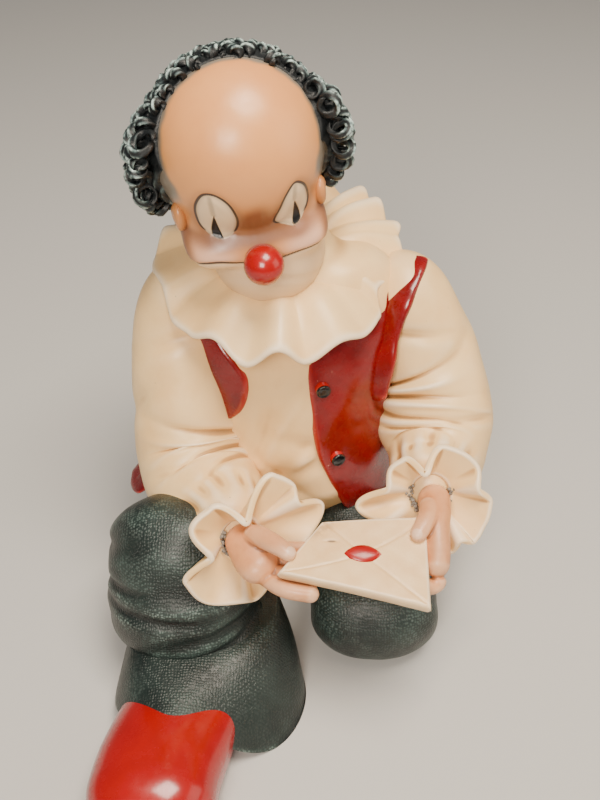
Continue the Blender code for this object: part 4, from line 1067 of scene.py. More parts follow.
@dataclass
class Hair:
    """A ring of curls round the sides and the back of the head.

    A place on it is a polar angle from the middle of the bald top and a turn round that, which is
    0 at the back and positive to the clown's left."""

    head: Head
    bald_rise: float = 43.7
    ends: tuple = ((64, 98), (70, 100), (80, 105), (90, 117), (100.5, 125), (111, 127), (122, 124),
        (133, 118), (144, 110), (155, 98), (166, 85))
    span: tuple = (64.0, 166.0)
    crown_reach: float = 3.2
    side_reach: float = 8.4
    nape_reach: float = 6.8
    band_share: float = 0.58
    row_step: float = 7.0
    spacing: float = 4.2
    wire: float = 1.02
    ridges: int = 3
    seed: int = 11
    band_grid: tuple[int, int] = (70, 215)
    lock_steps: int = 22

    def poles(self) -> tuple[Array, Array]:
        """The ways to the middle of the bald top and to the back, in the head's own directions."""
        rise = math.radians(self.bald_rise)
        return np.array([0, math.cos(rise), math.sin(rise)]), np.array([0, -math.sin(rise), math.cos(rise)])

    def half_turn(self, polar: Array) -> Array:
        """How far round the hair reaches to each side, in degrees."""
        return np.interp(polar, *np.array(self.ends, float).T)

    def direction(self, polar: Array, turn: Array) -> Array:
        """The way out at a place: cos(polar) top + sin(polar) (cos(turn) back + sin(turn) side).

        Args:
            polar: Degrees from the middle of the bald top.
            turn: Degrees round it.

        Returns:
            Unit vectors in the head's own directions.
        """
        top, back = self.poles()
        polar, turn = np.radians(polar)[..., None], np.radians(turn)[..., None]
        flat = np.cos(turn) * back + np.sin(turn) * np.array([1.0, 0, 0])
        return top * np.cos(polar) + flat * np.sin(polar)

    def reach(self, polar: Array, turn: Array) -> Array:
        """How far the locks stand out from the skull: least at the crown, most over the ears.

        Args:
            polar: Degrees from the middle of the bald top.
            turn: Degrees round it.

        Returns:
            The distance in millimetres.
        """
        back = self.crown_reach + (self.nape_reach - self.crown_reach) * ease(polar, 112.0, 148.0)
        side = back + (self.side_reach - back) * ease(np.abs(turn), 50.0, 88.0)
        return side * (1 - 0.25 * ease(polar, 148.0, 165.0))

    def fringe(self, local: Array) -> Array:
        """How much hair colour was sprayed on the skin at the hairline, 0 to 1.

        Args:
            local: Points of the head's skin.

        Returns:
            The amounts.
        """
        way = unit(local)
        top, back = (way @ pole for pole in self.poles())
        turn = np.degrees(np.arctan2(way[:, 0], back))
        polar = np.degrees(np.arccos(np.clip(top, -1, 1))) + 1.6 * unevenness(local, 6.0, 9)
        return ease(polar, 55.0, 65.0) * (1 - ease(np.abs(turn), 112.0, 130.0))

    def band(self) -> Surface:
        """The mass of hair under the curls: a wall over the skull, sin-shaped in section, with
        small strands run over it.

        Returns:
            The surface, marked with the strands.
        """
        rows, columns = self.band_grid
        polar = np.linspace(*self.span, rows)[:, None]
        turn = np.linspace(-1, 1, columns)[None, :] * self.half_turn(polar)
        ways = self.direction(polar + 0 * turn, turn)
        lift = np.minimum(1.6 * np.sin(np.linspace(0.12, math.pi - 0.12, rows)), 1)[:, None]
        sides = np.minimum(3 * np.sin(np.linspace(0.04, math.pi - 0.04, columns)), 1)[None, :]
        swirl = unevenness(ways * self.head.skull_radius, 5.0, 3) * 2.4
        strand = 0.5 + 0.5 * np.sin(turn * 1.3 + polar * 0.9 + 3 * swirl)
        depth = self.band_share * self.reach(polar, turn) * lift * sides
        outer = ways * (self.head.skull_radius + depth + 0.5 * strand * lift)[..., None]
        inner = ways * (self.head.skull_radius - 2.5)
        marks = {"strand": 0.6 * strand * lift}
        return walled(self.head.point(outer), self.head.point(inner), False, marks)

    def curl(self, place: tuple[float, float], chance: np.random.Generator) -> Surface:
        """One lock: a grooved wire along a coil whose axis lies on the head, so that both feet
        sink into the band. The coil is c + r (sin t side + cos t out) + p t / 2 pi along.

        Args:
            place: Its polar angle and turn.
            chance: Where its own size and twist come from.

        Returns:
            The surface, marked with its strands.
        """
        polar, turn = np.array(place)
        out = self.direction(polar, turn)
        along = unit(np.cross(out, chance.normal(size=3)))
        height = float(self.reach(polar, turn)) * chance.uniform(0.88, 1.0)
        wire = self.wire * chance.uniform(0.8, 1.1)
        radius = float(np.clip(0.36 * height, 1.4, 2.5)) * chance.uniform(0.75, 1.1)
        t = np.linspace(-0.5, 0.5, self.lock_steps) * chance.uniform(1.0, 1.9) * 2 * math.pi
        lean = unit(out + 0.34 * chance.normal(size=3))
        side = unit(np.cross(along, lean))
        centre = out * (self.head.skull_radius + height - radius - wire)
        coil = centre + radius * (np.cos(t)[:, None] * lean + np.sin(t)[:, None] * side)
        coil = coil + (chance.uniform(1.6, 2.6) * t / (2 * math.pi))[:, None] * along
        tangent = unit(np.gradient(coil, axis=0))
        level = unit(along - (tangent @ along)[:, None] * tangent)
        up = np.cross(tangent, level)
        angle = angles(4 * self.ridges)
        ridge = np.cos(self.ridges * angle)[None, :] + 0 * t[:, None]
        thick = wire * np.sqrt(np.sin(np.linspace(0.12, 3.02, self.lock_steps)))
        width = thick[:, None] * (1 + 0.30 * ridge)
        twist = angle[None, :] + (0.7 * t)[:, None]
        ring = coil[:, None] + level[:, None] * (width * np.cos(twist))[..., None]
        ring = ring + up[:, None] * (width * np.sin(twist))[..., None]
        stands = np.linalg.norm(ring, axis=-1) - self.head.skull_radius
        exposed = ease(stands, 0.35 * height, 0.95 * height)
        return round_grid(self.head.point(ring), {"strand": (0.55 + 0.45 * ridge) * exposed})

    def curls(self) -> Surface:
        """Rows of locks, closer together than they are wide.

        Returns:
            The surfaces side by side.
        """
        chance = np.random.default_rng(self.seed)
        found = []
        for polar in np.arange(self.span[0] + 4, self.span[1], self.row_step):
            last = float(self.half_turn(polar)) - 3
            round_part = 2 * math.radians(last) * self.head.skull_radius
            count = max(3, round(round_part * math.sin(math.radians(polar)) / self.spacing))
            for k in range(count):
                turn = -last + 2 * last * (k + 0.5 + chance.uniform(-0.3, 0.3)) / count
                found.append(self.curl((polar + chance.uniform(-3.0, 3.0), turn), chance))
        return joined(found)

    def make(self) -> None:
        """Makes the hair's pieces."""
        make_piece("hair_band", self.band(), HAIR_BLACK)
        make_piece("hair_curls", self.curls(), HAIR_BLACK, 0)


@dataclass
class Shirt:
    """The cream shirt: body, puffed sleeves, ruffled collar and ruffled cuffs."""

    body_rows: tuple = ((6, 3, 20, 24, 20), (6, 0, 33, 28, 26), (5, -1, 45, 28.5, 27),
        (4, -1, 58, 28.5, 24.5), (3, 0, 70, 30, 22), (2, 1.5, 82, 32, 20), (1.5, 3, 92, 34, 17.5),
        (1, 4, 100, 30, 15), (0, 4, 106, 18, 13), (-1, 4, 114, 12, 11.5), (-3, 4, 122, 11, 11))
    body_folds: tuple = (Fold(0.30, 262, 0.022, 34, -1.3, 0.10),
        Fold(0.36, 285, 0.020, 26, -1.2, -0.14), Fold(0.22, 280, 0.030, 40, 1.0, 0.05),
        Fold(0.33, 272, 0.018, 16, 0.9, 0.30), Fold(0.27, 264, 0.012, 20, -1.0, -0.35, True),
        Fold(0.42, 262, 0.022, 14, 0.8, 0.60), Fold(0.48, 256, 0.012, 12, -0.8, 0.90, True),
        Fold(0.40, 250, 0.012, 12, -0.8, 0.80, True), Fold(0.62, 250, 0.030, 12, -0.7, 1.20))
    right_arm: tuple = ((-19, 4, 98, 11, 11), (-27, 3, 91, 13.5, 13.5), (-29, -1.5, 79, 15, 15),
        (-28, -8, 65, 16.5, 15.5), (-26.5, -15, 51, 17.5, 15.5), (-23, -26, 45.5, 16.8, 15),
        (-18, -36.5, 46.5, 14.3, 13.5), (-13.5, -46, 49.5, 10.5, 10.5), (-11, -51.5, 50.9, 8.5, 8.5))
    left_arm: tuple = ((24, 5, 98, 11, 11), (34, 4.5, 92, 13, 13.3), (40.5, 1, 80, 14.5, 14),
        (44.5, -4, 69, 15.5, 15), (45, -12, 59, 17.5, 15), (45, -21, 54, 14.5, 13.5),
        (43, -30, 54, 12.5, 12), (41.5, -37, 56, 10, 10), (41, -41.5, 57.8, 8, 8))
    right_folds: tuple = (Fold(0.20, 95, 0.030, 45, -0.9, 0.10), Fold(0.40, 150, 0.040, 35, -1.1, 0.12),
        Fold(0.50, 48, 0.016, 58, -2.0, -0.07, True), Fold(0.535, 75, 0.020, 42, 1.1, -0.04),
        Fold(0.57, 44, 0.016, 70, -2.2, 0.02, True), Fold(0.61, 75, 0.020, 45, 1.1, 0.05),
        Fold(0.65, 46, 0.016, 58, -2.0, 0.09, True), Fold(0.70, 130, 0.030, 30, -1.0, -0.10),
        Fold(0.76, 60, 0.014, 40, -1.2, 0.14, True), Fold(0.88, 40, 0.060, 9, -0.8),
        Fold(0.88, 66, 0.045, 9, -0.8), Fold(0.86, 98, 0.070, 11, -1.0),
        Fold(0.88, 124, 0.045, 9, -0.7), Fold(0.88, 150, 0.060, 10, -1.2))
    left_folds: tuple = (Fold(0.24, 100, 0.030, 45, -0.9, -0.12), Fold(0.38, 60, 0.040, 35, -1.0, 0.10),
        Fold(0.45, 152, 0.017, 62, -2.0, 0.08, True), Fold(0.49, 122, 0.020, 40, 1.1, 0.05),
        Fold(0.53, 152, 0.017, 72, -2.2, 0.0, True), Fold(0.57, 120, 0.020, 42, 1.1, -0.03),
        Fold(0.61, 150, 0.017, 64, -2.0, -0.10, True), Fold(0.70, 135, 0.015, 45, -1.3, -0.16, True),
        Fold(0.66, 50, 0.030, 30, -1.0, 0.10), Fold(0.86, 40, 0.070, 10, -1.2),
        Fold(0.87, 64, 0.050, 9, -0.8), Fold(0.85, 96, 0.075, 11, -1.0),
        Fold(0.88, 125, 0.045, 9, -0.8), Fold(0.87, 150, 0.070, 10, -1.2))
    collar_centre: tuple = (0.0, 3.5, 105.0)
    collar_inner: float = 9.0
    collar_slope: float = 0.20
    collar_edge: tuple = ((8, 35.8, 2.6), (19, 35.3, -2.2), (25, 37.6, -3.0), (34, 37.4, 1.0),
        (42, 38.6, -4.0), (47, 38.0, -2.0), (52, 39.2, -4.2), (60, 37.6, 1.0), (71, 37.2, -3.8),
        (82, 36.6, 1.4), (94, 37.0, -3.6), (106, 36.4, 1.6), (118, 37.0, -3.4), (131, 36.8, 1.8),
        (143, 37.8, -2.6), (151, 37.6, 1.2), (158, 37.4, -3.0), (168, 37.8, 2.0), (196, 33.9, -2.4),
        (208, 33.9, 2.4), (220, 32.5, 2.4), (236, 31.7, -1.2), (253, 32.7, 3.0), (269, 32.0, -2.6),
        (282.5, 31.1, 3.0), (301, 31.2, -0.8), (319, 31.1, 2.4), (332, 30.6, 2.4), (340, 28.0, -2.6))
    collar_thickness: float = 2.0
    right_cuff: tuple = ((20, 17.5, 4.0), (45, 20.0, 1.0), (68, 14.0, 5.0), (90, 19.2, 1.5),
        (103, 17.6, 4.0), (135, 20.5, 1.0), (158, 19.6, 1.5), (178, 10.5, 5.5), (212, 15.8, 1.5),
        (240, 14.2, 1.5), (276, 6.8, 6.0), (306, 20.0, 1.0), (325, 20.5, 1.0), (337, 18.3, 3.5),
        (353, 24.6, 1.0))
    left_cuff: tuple = ((3, 16.8, 1.5), (24, 17.2, 1.5), (44, 18.0, 2.0), (52, 15.0, 4.5),
        (66, 17.6, 1.5), (90, 13.0, 5.0), (120, 19.0, 1.0), (142, 15.0, 4.5), (165, 21.0, 1.0),
        (186, 12.0, 4.5), (209, 13.4, 1.5), (228, 12.6, 1.5), (252, 6.8, 6.0), (280, 14.2, 1.5),
        (322, 15.2, 1.5), (346, 13.2, 4.0))
    right_wrist: tuple = ((-11.5, -50.5, 50.6), (0.35, -0.82, 0.35))
    left_wrist: tuple = ((41.0, -40.5, 57.2), (-0.10, -0.80, 0.50))
    cuff_inner: float = 5.6
    cuff_flare: float = 2.0
    cuff_thickness: float = 1.8
    waviness: float = 0.35
    # Rows and columns of points.
    body_grid: tuple[int, int] = (130, 145)
    sleeve_grid: tuple[int, int] = (170, 128)
    collar_grid: tuple[int, int] = (34, 460)
    cuff_grid: tuple[int, int] = (26, 260)

    def torso_point(self, height: Array, angle: Array, lift: Array) -> Array:
        """Points over the shirt's body: an ellipse at each height, grown by the lift.

        Args:
            height: Heights in millimetres.
            angle: Degrees, 0 at the clown's left and 270 in front.
            lift: How far out from the skin.

        Returns:
            The points.
        """
        rows = smooth_rows(self.body_rows, 300)
        rows = rows[np.argsort(rows[:, 2])]
        x, y, wide, deep = (np.interp(height, rows[:, 2], rows[:, k]) for k in (0, 1, 3, 4))
        angle = np.radians(angle)
        return np.stack([x + (wide + lift) * np.cos(angle), y + (deep + lift) * np.sin(angle),
            height + 0 * angle], axis=-1)

    def collar_middle(self, share: Array, angle: Array) -> Array:
        """The collar's middle surface. Its radius grows to the edge with share, and its height is
        a low arch, a slope to the front and the edge's dips times share^1.3.

        Args:
            share: 0 at the neck to 1 at the edge.
            angle: Radians round the neck.

        Returns:
            The points.
        """
        reach, dip = edge_values(self.collar_edge, angle)
        radius = self.collar_inner + (reach - self.collar_inner) * share
        x, y = radius * np.cos(angle), radius * np.sin(angle)
        rise = 2.5 * np.sin(math.pi * share) - 5.0 * share**1.6
        z = rise + self.collar_slope * y - dip * share**1.3
        return np.asarray(self.collar_centre) + np.stack([x, y, z], axis=-1)

    def cuff_middle(self, wrist: tuple, edge: tuple, share: Array, angle: Array) -> Array:
        """A cuff's middle surface: its radius grows to the edge with share, and it leans forward
        by flare share^0.8 and the edge's own share^1.2.

        Args:
            wrist: Centre and direction.
            edge: Angle, reach and forward lean of the edge's turning points.
            share: 0 at the wrist to 1 at the edge.
            angle: Radians round the wrist.

        Returns:
            The points.
        """
        centre, out = np.asarray(wrist[0]), unit(wrist[1])
        left = unit(np.cross((0, 0, 1), out))
        down = np.cross(left, out)
        reach, forward = edge_values(edge, angle)
        radius = self.cuff_inner + (reach - self.cuff_inner) * share
        depth = self.cuff_flare * share**0.8 + forward * share**1.2
        flat = left * (radius * np.cos(angle))[..., None] + down * (radius * np.sin(angle))[..., None]
        return centre + flat + out * depth[..., None]

    @staticmethod
    def ruffle(middle: Callable[[Array, Array], Array], thickness: float, rows: int,
            columns: int) -> Surface:
        """A ruffle as a wall round its middle surface, whose edge is rounded: half the thickness
        to each side along the normal, times sqrt(1 - e^2) near the edge.

        Args:
            middle: The middle surface, a function of share and angle.
            thickness: The wall.
            rows: Steps from the neck to the edge.
            columns: Steps round.

        Returns:
            The surface.
        """
        share = np.append(np.linspace(0, 0.95, rows), [0.965, 0.98, 0.99, 0.997, 1.0])[:, None]
        angle = angles(columns)[None, :]
        share, angle = share + 0 * angle, angle + 0 * share
        centre = middle(share, angle)
        step = 1e-3
        along = middle(share + step, angle) - centre
        around = middle(share, angle + step) - middle(share, angle - step)
        normal = unit(np.cross(along, around))
        edge = round_edge((1 - share) / 0.05, 0.004)
        offset = normal * edge[..., None] * thickness / 2
        return walled(centre + offset, centre - offset, True)

    def make(self) -> None:
        """Makes the shirt's pieces."""
        body = Limb(self.body_rows, SIDEWAYS, *self.body_grid, self.body_folds, waviness=self.waviness)
        make_piece("shirt_body", body.surface(), CREAM, 6)
        for name, rows, folds in (("sleeve_right", self.right_arm, self.right_folds),
            ("sleeve_left", self.left_arm, self.left_folds)):
            sleeve = Limb(rows, SIDEWAYS, *self.sleeve_grid, folds, waviness=self.waviness, wave_length=17.0)
            make_piece(name, sleeve.surface(), CREAM, 6)
        collar = self.ruffle(self.collar_middle, self.collar_thickness, *self.collar_grid)
        make_piece("ruffled_collar", collar, CREAM, 5)
        for name, wrist, edge in (("cuff_right", self.right_wrist, self.right_cuff),
            ("cuff_left", self.left_wrist, self.left_cuff)):

            def middle(share: Array, angle: Array, wrist: tuple = wrist, edge: tuple = edge) -> Array:
                """This cuff's middle surface."""
                return self.cuff_middle(wrist, edge, share, angle)

            cuff = self.ruffle(middle, self.cuff_thickness, *self.cuff_grid)
            make_piece(name, cuff, CREAM, 4)


@dataclass
class Waistcoat:
    """The open red waistcoat with its shoulder strap, its tail and two buttons."""

    shirt: Shirt
    left_edge: tuple = ((20, 305), (31, 298), (47, 288.5), (60, 281), (86, 278), (98, 281), (106, 290))
    right_edge: tuple = ((24, 198), (47, 208), (60, 221), (69, 241), (78, 248), (84, 243), (91, 235),
        (106, 225))
    hem: float = 25.0
    top: float = 104.0
    thickness: float = 1.2
    hem_flare: float = 3.4
    flare_top: float = 46.0
    tail_flare: float = 24.0
    tail_angle: float = 184.0
    tail_width: float = 20.0
    wall_grid: tuple[int, int] = (84, 190)
    button_places: tuple = ((77, 286), (55.5, 293))
    button_radius: float = 2.1
    button_height: float = 1.4
    button_profile: tuple = ((0, -0.8), (1, -0.8), (1.04, 0.3), (1.0, 0.8), (0.88, 1.0), (0.6, 0.93),
        (0.3, 0.9), (0, 0.9))
    strap: tuple = ((25.4, -15.0, 69, 4.6, 1.2), (27, -11.9, 80, 5.4, 1.3),
        (29.5, -9.2, 88.5, 4.0, 1.4), (32.8, -5.8, 97.5, 3.6, 1.4), (36.6, 0.5, 102.6, 3.2, 1.4),
        (38.3, 6.5, 103.4, 3.0, 1.2))
    tail: tuple = ((-22, 6, 46, 12, 1.8), (-32, 4, 38, 11, 1.5), (-41, 0, 30.5, 9, 1.2),
        (-50.5, -4, 22.5, 6, 0.9))

    def wall(self) -> Surface:
        """The waistcoat's cloth, one wall from its left front edge round the back to the right
        one, that flares towards its hem.

        Returns:
            The surface.
        """
        rows, columns = self.wall_grid
        height = np.linspace(self.hem, self.top, rows)[:, None]
        left = np.interp(height, *smooth_rows(self.left_edge, 80).T)
        right = np.interp(height, *smooth_rows(self.right_edge, 80).T)
        share = np.linspace(0, 1, columns)[None, :]
        angle = (left - 360) + share * (right + 360 - left)
        low = np.clip((self.flare_top - height) / (self.flare_top - self.hem), 0, 1) ** 1.6
        tail = bell(angle - self.tail_angle, self.tail_width)
        waves = 1 + 0.5 * np.sin(np.radians(angle * 7))
        flare = low * (self.hem_flare * waves + self.tail_flare * tail)
        rough = self.shirt.torso_point(height + 0 * angle, angle, 0.0)
        flare = flare + 0.35 * unevenness(rough, 15.0, 5)
        brim = np.minimum(share, 1 - share) * (right + 360 - left) * 0.45
        edge = round_edge(brim / 0.9, 0.02)
        outer = self.shirt.torso_point(height + 0 * angle, angle, self.thickness * edge + flare)
        inner = self.shirt.torso_point(height + 0 * angle, angle, flare - 0.9)
        return walled(inner, outer, False)

    def button(self, place: tuple[float, float]) -> Surface:
        """A raised button: a turned profile with a round shoulder and a dished top.

        Args:
            place: Its height and its angle on the shirt.

        Returns:
            The surface, marked at its rim.
        """
        height, angle = (np.array(float(v)) for v in place)
        seat = self.shirt.torso_point(height, angle, 0.0)
        out = unit(self.shirt.torso_point(height, angle, 1.0) - seat)
        side = unit(np.cross(out, (0, 0, 1)))
        up = np.cross(side, out)
        reach = self.thickness + self.button_height
        profile = smooth_rows(self.button_profile, 40)
        turn = angles(48)[None, :]
        flat = side * np.cos(turn)[..., None] + up * np.sin(turn)[..., None]
        ring = seat + flat * (profile[:, 0] * self.button_radius)[:, None, None]
        ring = ring + out * (profile[:, 1] * reach)[:, None, None]
        rim = 1 - ease(profile[:, 1], 0.62, 0.9)[:, None] + 0 * turn
        return round_grid(ring, {"rim": rim})

    def make(self) -> None:
        """Makes the waistcoat's pieces."""
        make_piece("waistcoat", self.wall(), WAISTCOAT_RED, 3)
        strap = Limb(self.strap, (0.8, -0.6, 0.0), 90, 50, (), (0.6, 0.4), 3.0, 0.2, 9.0)
        make_piece("shoulder_strap", strap.surface(), WAISTCOAT_RED)
        tail = Limb(self.tail, (0.1, 1, 0.2), 90, 70, (), (0.6, 0.5), 3.0, 0.3, 12.0)
        make_piece("waistcoat_tail", tail.surface(), WAISTCOAT_RED)
        buttons = joined([self.button(place) for place in self.button_places])
        make_piece("buttons", buttons, BUTTON_BLACK, 0)


@dataclass
class Letter:
    """The sealed letter."""

    back: tuple = ((10.8, -52.1, 57.0), (38.7, -50.1, 57.0))
    front: tuple = ((-0.9, -67.2, 54.0), (38.1, -75.5, 50.0))
    bow: float = 0.7
    thickness: float = 2.6
    front_thickness: float = 3.6
    depth: float = 20.0
    grid: tuple[int, int] = (88, 140)
    seal_place: tuple[float, float] = (0.49, 0.52)
    seal_width: float = 9.8
    stain_place: tuple[float, float] = (0.06, 0.16)
    nick_place: tuple[float, float] = (0.21, 0.37)
    nick_length: float = 1.5
    nick_width: float = 0.35 / 17  # a share of the letter's depth

    def up(self) -> Array:
        """The letter's upper side."""
        corners = np.array([self.back, self.front])
        return unit(np.cross(corners[0, 1] - corners[1, 0], corners[0, 0] - corners[1, 1]))

    def point(self, right: Array, front: Array, lift: Array) -> Array:
        """A point on the letter, between its four corners, with a low bow across.

        Args:
            right: Share of the way to its right.
            front: Share of the way to its front.
            lift: Distance above its middle.

        Returns:
            The points.
        """
        right, front, lift = np.broadcast_arrays(right, front, lift)
        back, fore = np.array(self.back), np.array(self.front)
        r, f = right[..., None], front[..., None]
        flat = (back[0] * (1 - r) + back[1] * r) * (1 - f) + (fore[0] * (1 - r) + fore[1] * r) * f
        bow = self.bow * np.sin(math.pi * right) * (0.4 + 0.6 * front)
        return flat + (lift + bow)[..., None] * self.up()

    def paper(self) -> Surface:
        """The folded paper, a slab with round edges and the lines of its flap pressed in.

        Returns:
            The surface, marked with the folds, a stain and a nick.
        """
        rows, columns = self.grid
        right = np.linspace(0, 1, columns)[None, :]
        front = np.linspace(0, 1, rows)[:, None]
        corners = (self.point(end, 0.5, 0.0) for end in (1, 0))
        width = np.linalg.norm(np.subtract(*corners))
        across, down = right * width, front * self.depth
        brim = np.minimum(np.minimum(across, width - across), down)
        edge = round_edge(brim / 0.8, 0.03)
        roll = np.clip((self.depth - down) / 1.0, 0, 1)
        edge = edge * np.clip(1 - (1 - roll) ** 4, 0.004, 1) ** 0.25
        places = np.stack(np.broadcast_arrays(across, down), axis=-1).reshape(-1, 2)
        seal = np.array(self.seal_place) * (width, self.depth)
        lines = [line_distance(places, np.array([corner, seal]))
            for corner in ((0.0, 0.0), (width, 0.0), (0.0, self.depth), (width, self.depth))]
        fold = np.min(lines, axis=0).reshape(edge.shape)
        sink = 0.16 * bell(fold, 0.35)
        wave = 0.10 * unevenness(self.point(right, front, 0.0), 7.0, 21)
        stain = bell(right - self.stain_place[0], 0.12) * bell(front - self.stain_place[1], 0.2)
        nick = bell((right - self.nick_place[0]) * width, self.nick_length)
        nick = nick * bell(front - self.nick_place[1], self.nick_width)
        marks = {"fold": fold, "stain": stain, "nick": nick}
        top = self.thickness / 2 + (self.front_thickness - self.thickness) / 2 * front**2
        return walled(self.point(right, front, top * edge - sink + wave - 0.25 * nick),
            self.point(right, front, -(self.thickness / 2 + 1.0 * front**2) * edge + wave), False,
            marks)

    def seal(self) -> Surface:
        """The wax seal, a leaf in outline, |y| < (1 - x^2) h, and a low dome in section.

        Returns:
            The surface, marked where it turns paler towards one end.
        """
        up = self.up()
        along = unit(np.cross((0, 1, 0), up))
        front = np.cross(up, along)
        ball = sphere_grid(40, 80)
        x, y = ball[..., 0], ball[..., 1]
        half = self.seal_width / 2
        lens = np.sqrt(np.clip(1 - x**2, 0, 1)) ** 0.7
        centre = self.point(*np.array(self.seal_place), self.thickness / 2)
        points = centre + along * (x * half)[..., None] + front * (y * half * 0.52 * lens)[..., None]
        points = points + up * ball[..., 2:]
        return round_grid(points, {"worn": ease(x, 0.55, 0.9)})

    def make(self) -> None:
        """Makes the letter's pieces."""
        paper = make_piece("letter", self.paper(), LETTER_CREAM, 3)
        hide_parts("hands_and_letter")
        make_piece("wax_seal", self.seal(), SEAL_RED)


@dataclass
class Hands:
    """Both hands, with thumbs on the letter and fingers under it, and the glue at the wrists."""

    shirt: Shirt
    right_palm: tuple = ((-12.3, -48.8, 50.5, 4.4, 4.2), (-9.2, -54.8, 51.4, 5.6, 4.6),
        (-6.2, -60.2, 50.6, 5.8, 4.3), (-2.2, -64.8, 50.0, 4.8, 3.4))
    right_thumb: tuple = ((-9.2, -53.2, 53.8, 3.0, 3.0), (-5.0, -56.8, 56.6, 2.9, 2.6),
        (-0.2, -61.1, 57.7, 2.6, 2.1), (3.7, -64.2, 57.0, 2.1, 1.6))
    left_palm: tuple = ((41.3, -39.5, 57.3, 4.4, 4.2), (41.6, -46, 57.2, 4.4, 4.4),
        (41.3, -52.5, 55.4, 3.8, 4.6), (41.3, -59, 52, 3.5, 4.4), (40.8, -64.2, 49.5, 3.0, 3.2))
    left_thumb: tuple = ((40.6, -45, 58.8, 3.2, 2.9), (39.6, -50.3, 59.2, 2.9, 2.5),
        (37.4, -54.8, 58.8, 2.5, 2.1), (34.9, -58.6, 57.3, 2.0, 1.7))
    fingers: tuple = (((-5.5, -62.5, 48.8), (0.8, -67.8, 49.2), (10.0, -69.6, 48.8), 2.3),
        ((-6.5, -59.5, 48.8), (1.5, -64.0, 50.0), (11.0, -65.3, 50.2), 2.2),
        ((-6.5, -56.5, 49.2), (2.0, -59.8, 50.6), (11.0, -60.8, 51.4), 2.1),
        ((-7.0, -54.0, 50.0), (3.0, -56.0, 51.4), (11.5, -57.0, 52.6), 1.9),
        ((43, -50, 54), (41, -50.5, 52.5), (33, -51.5, 53.4), 1.9),
        ((43.6, -54, 52), (41, -55, 50.5), (32.5, -55.8, 52), 2.1),
        ((43.4, -58.5, 50), (41, -60, 48.5), (32.5, -60.8, 50.3), 2.1),
        ((42.4, -62.5, 48.5), (40.2, -65, 46.8), (33, -66.4, 48.7), 2.1))
    nails: tuple = (((2.9, -63.4, 59.0), 1.7), ((35.5, -57.8, 59.1), 1.7))
    crumbs: int = 90
    seed: int = 7
    voxel: float = 0.37

    def skin(self) -> Surface:
        """Both hands as one skin.

        Returns:
            The surface, marked at the thumbnails.
        """
        thick = ((self.right_palm, SIDEWAYS), (self.right_thumb, (0, 1, 0)),
            (self.left_palm, SIDEWAYS), (self.left_thumb, SIDEWAYS))
        parts = [Limb(rows, across, 60, 44).surface() for rows, across in thick]
        for root, knuckle, tip, radius in self.fingers:
            rows = tuple((*spot, radius, radius) for spot in (root, knuckle, tip))
            parts.append(Limb(rows, (0, 0, 1), 40, 30).surface())
        skin = fused(joined(parts), self.voxel, 3)
        nail = np.zeros(len(skin.points))
        for centre, size in self.nails:
            gap = np.linalg.norm(skin.points - centre, axis=1)
            nail = np.maximum(nail, 1 - ease(gap, size * 0.7, size))
        skin.marks["nail"] = nail
        return skin

    def glue(self) -> Surface:
        """Crumbs of glue on the rim of each cuff's hole, each a dented ball of few faces.

        Returns:
            The crumbs side by side.
        """
        chance = np.random.default_rng(self.seed)
        found = []
        wrists = (self.shirt.right_wrist, self.shirt.left_wrist)
        for wrist, start, end in zip(wrists, (20, -20), (215, 200)):
            centre, out = np.array(wrist[0]), unit(wrist[1])
            right = -unit(np.cross(out, (0, 0, 1)))
            up = np.cross(right, out)
            for _ in range(self.crumbs):
                angle = math.radians(chance.uniform(start, end))
                radius = self.shirt.cuff_inner + chance.normal() * 0.45
                spot = centre + radius * (right * math.cos(angle) + up * math.sin(angle))
                spot = spot + out * chance.uniform(0.5, 2.1)
                ball = sphere_grid(6, 7)
                dent = 1 + 0.3 * chance.uniform(-1, 1, ball.shape[:2])
                size = chance.uniform(0.25, 0.62)
                found.append(round_grid(spot + ball * (size * dent)[..., None]))
        return joined(found)

    def make(self) -> None:
        """Makes the hands and the glue."""
        make_piece("hands", self.skin(), HAND_SKIN)
        make_piece("wrist_glue", self.glue(), GLUE_GREY, 0)


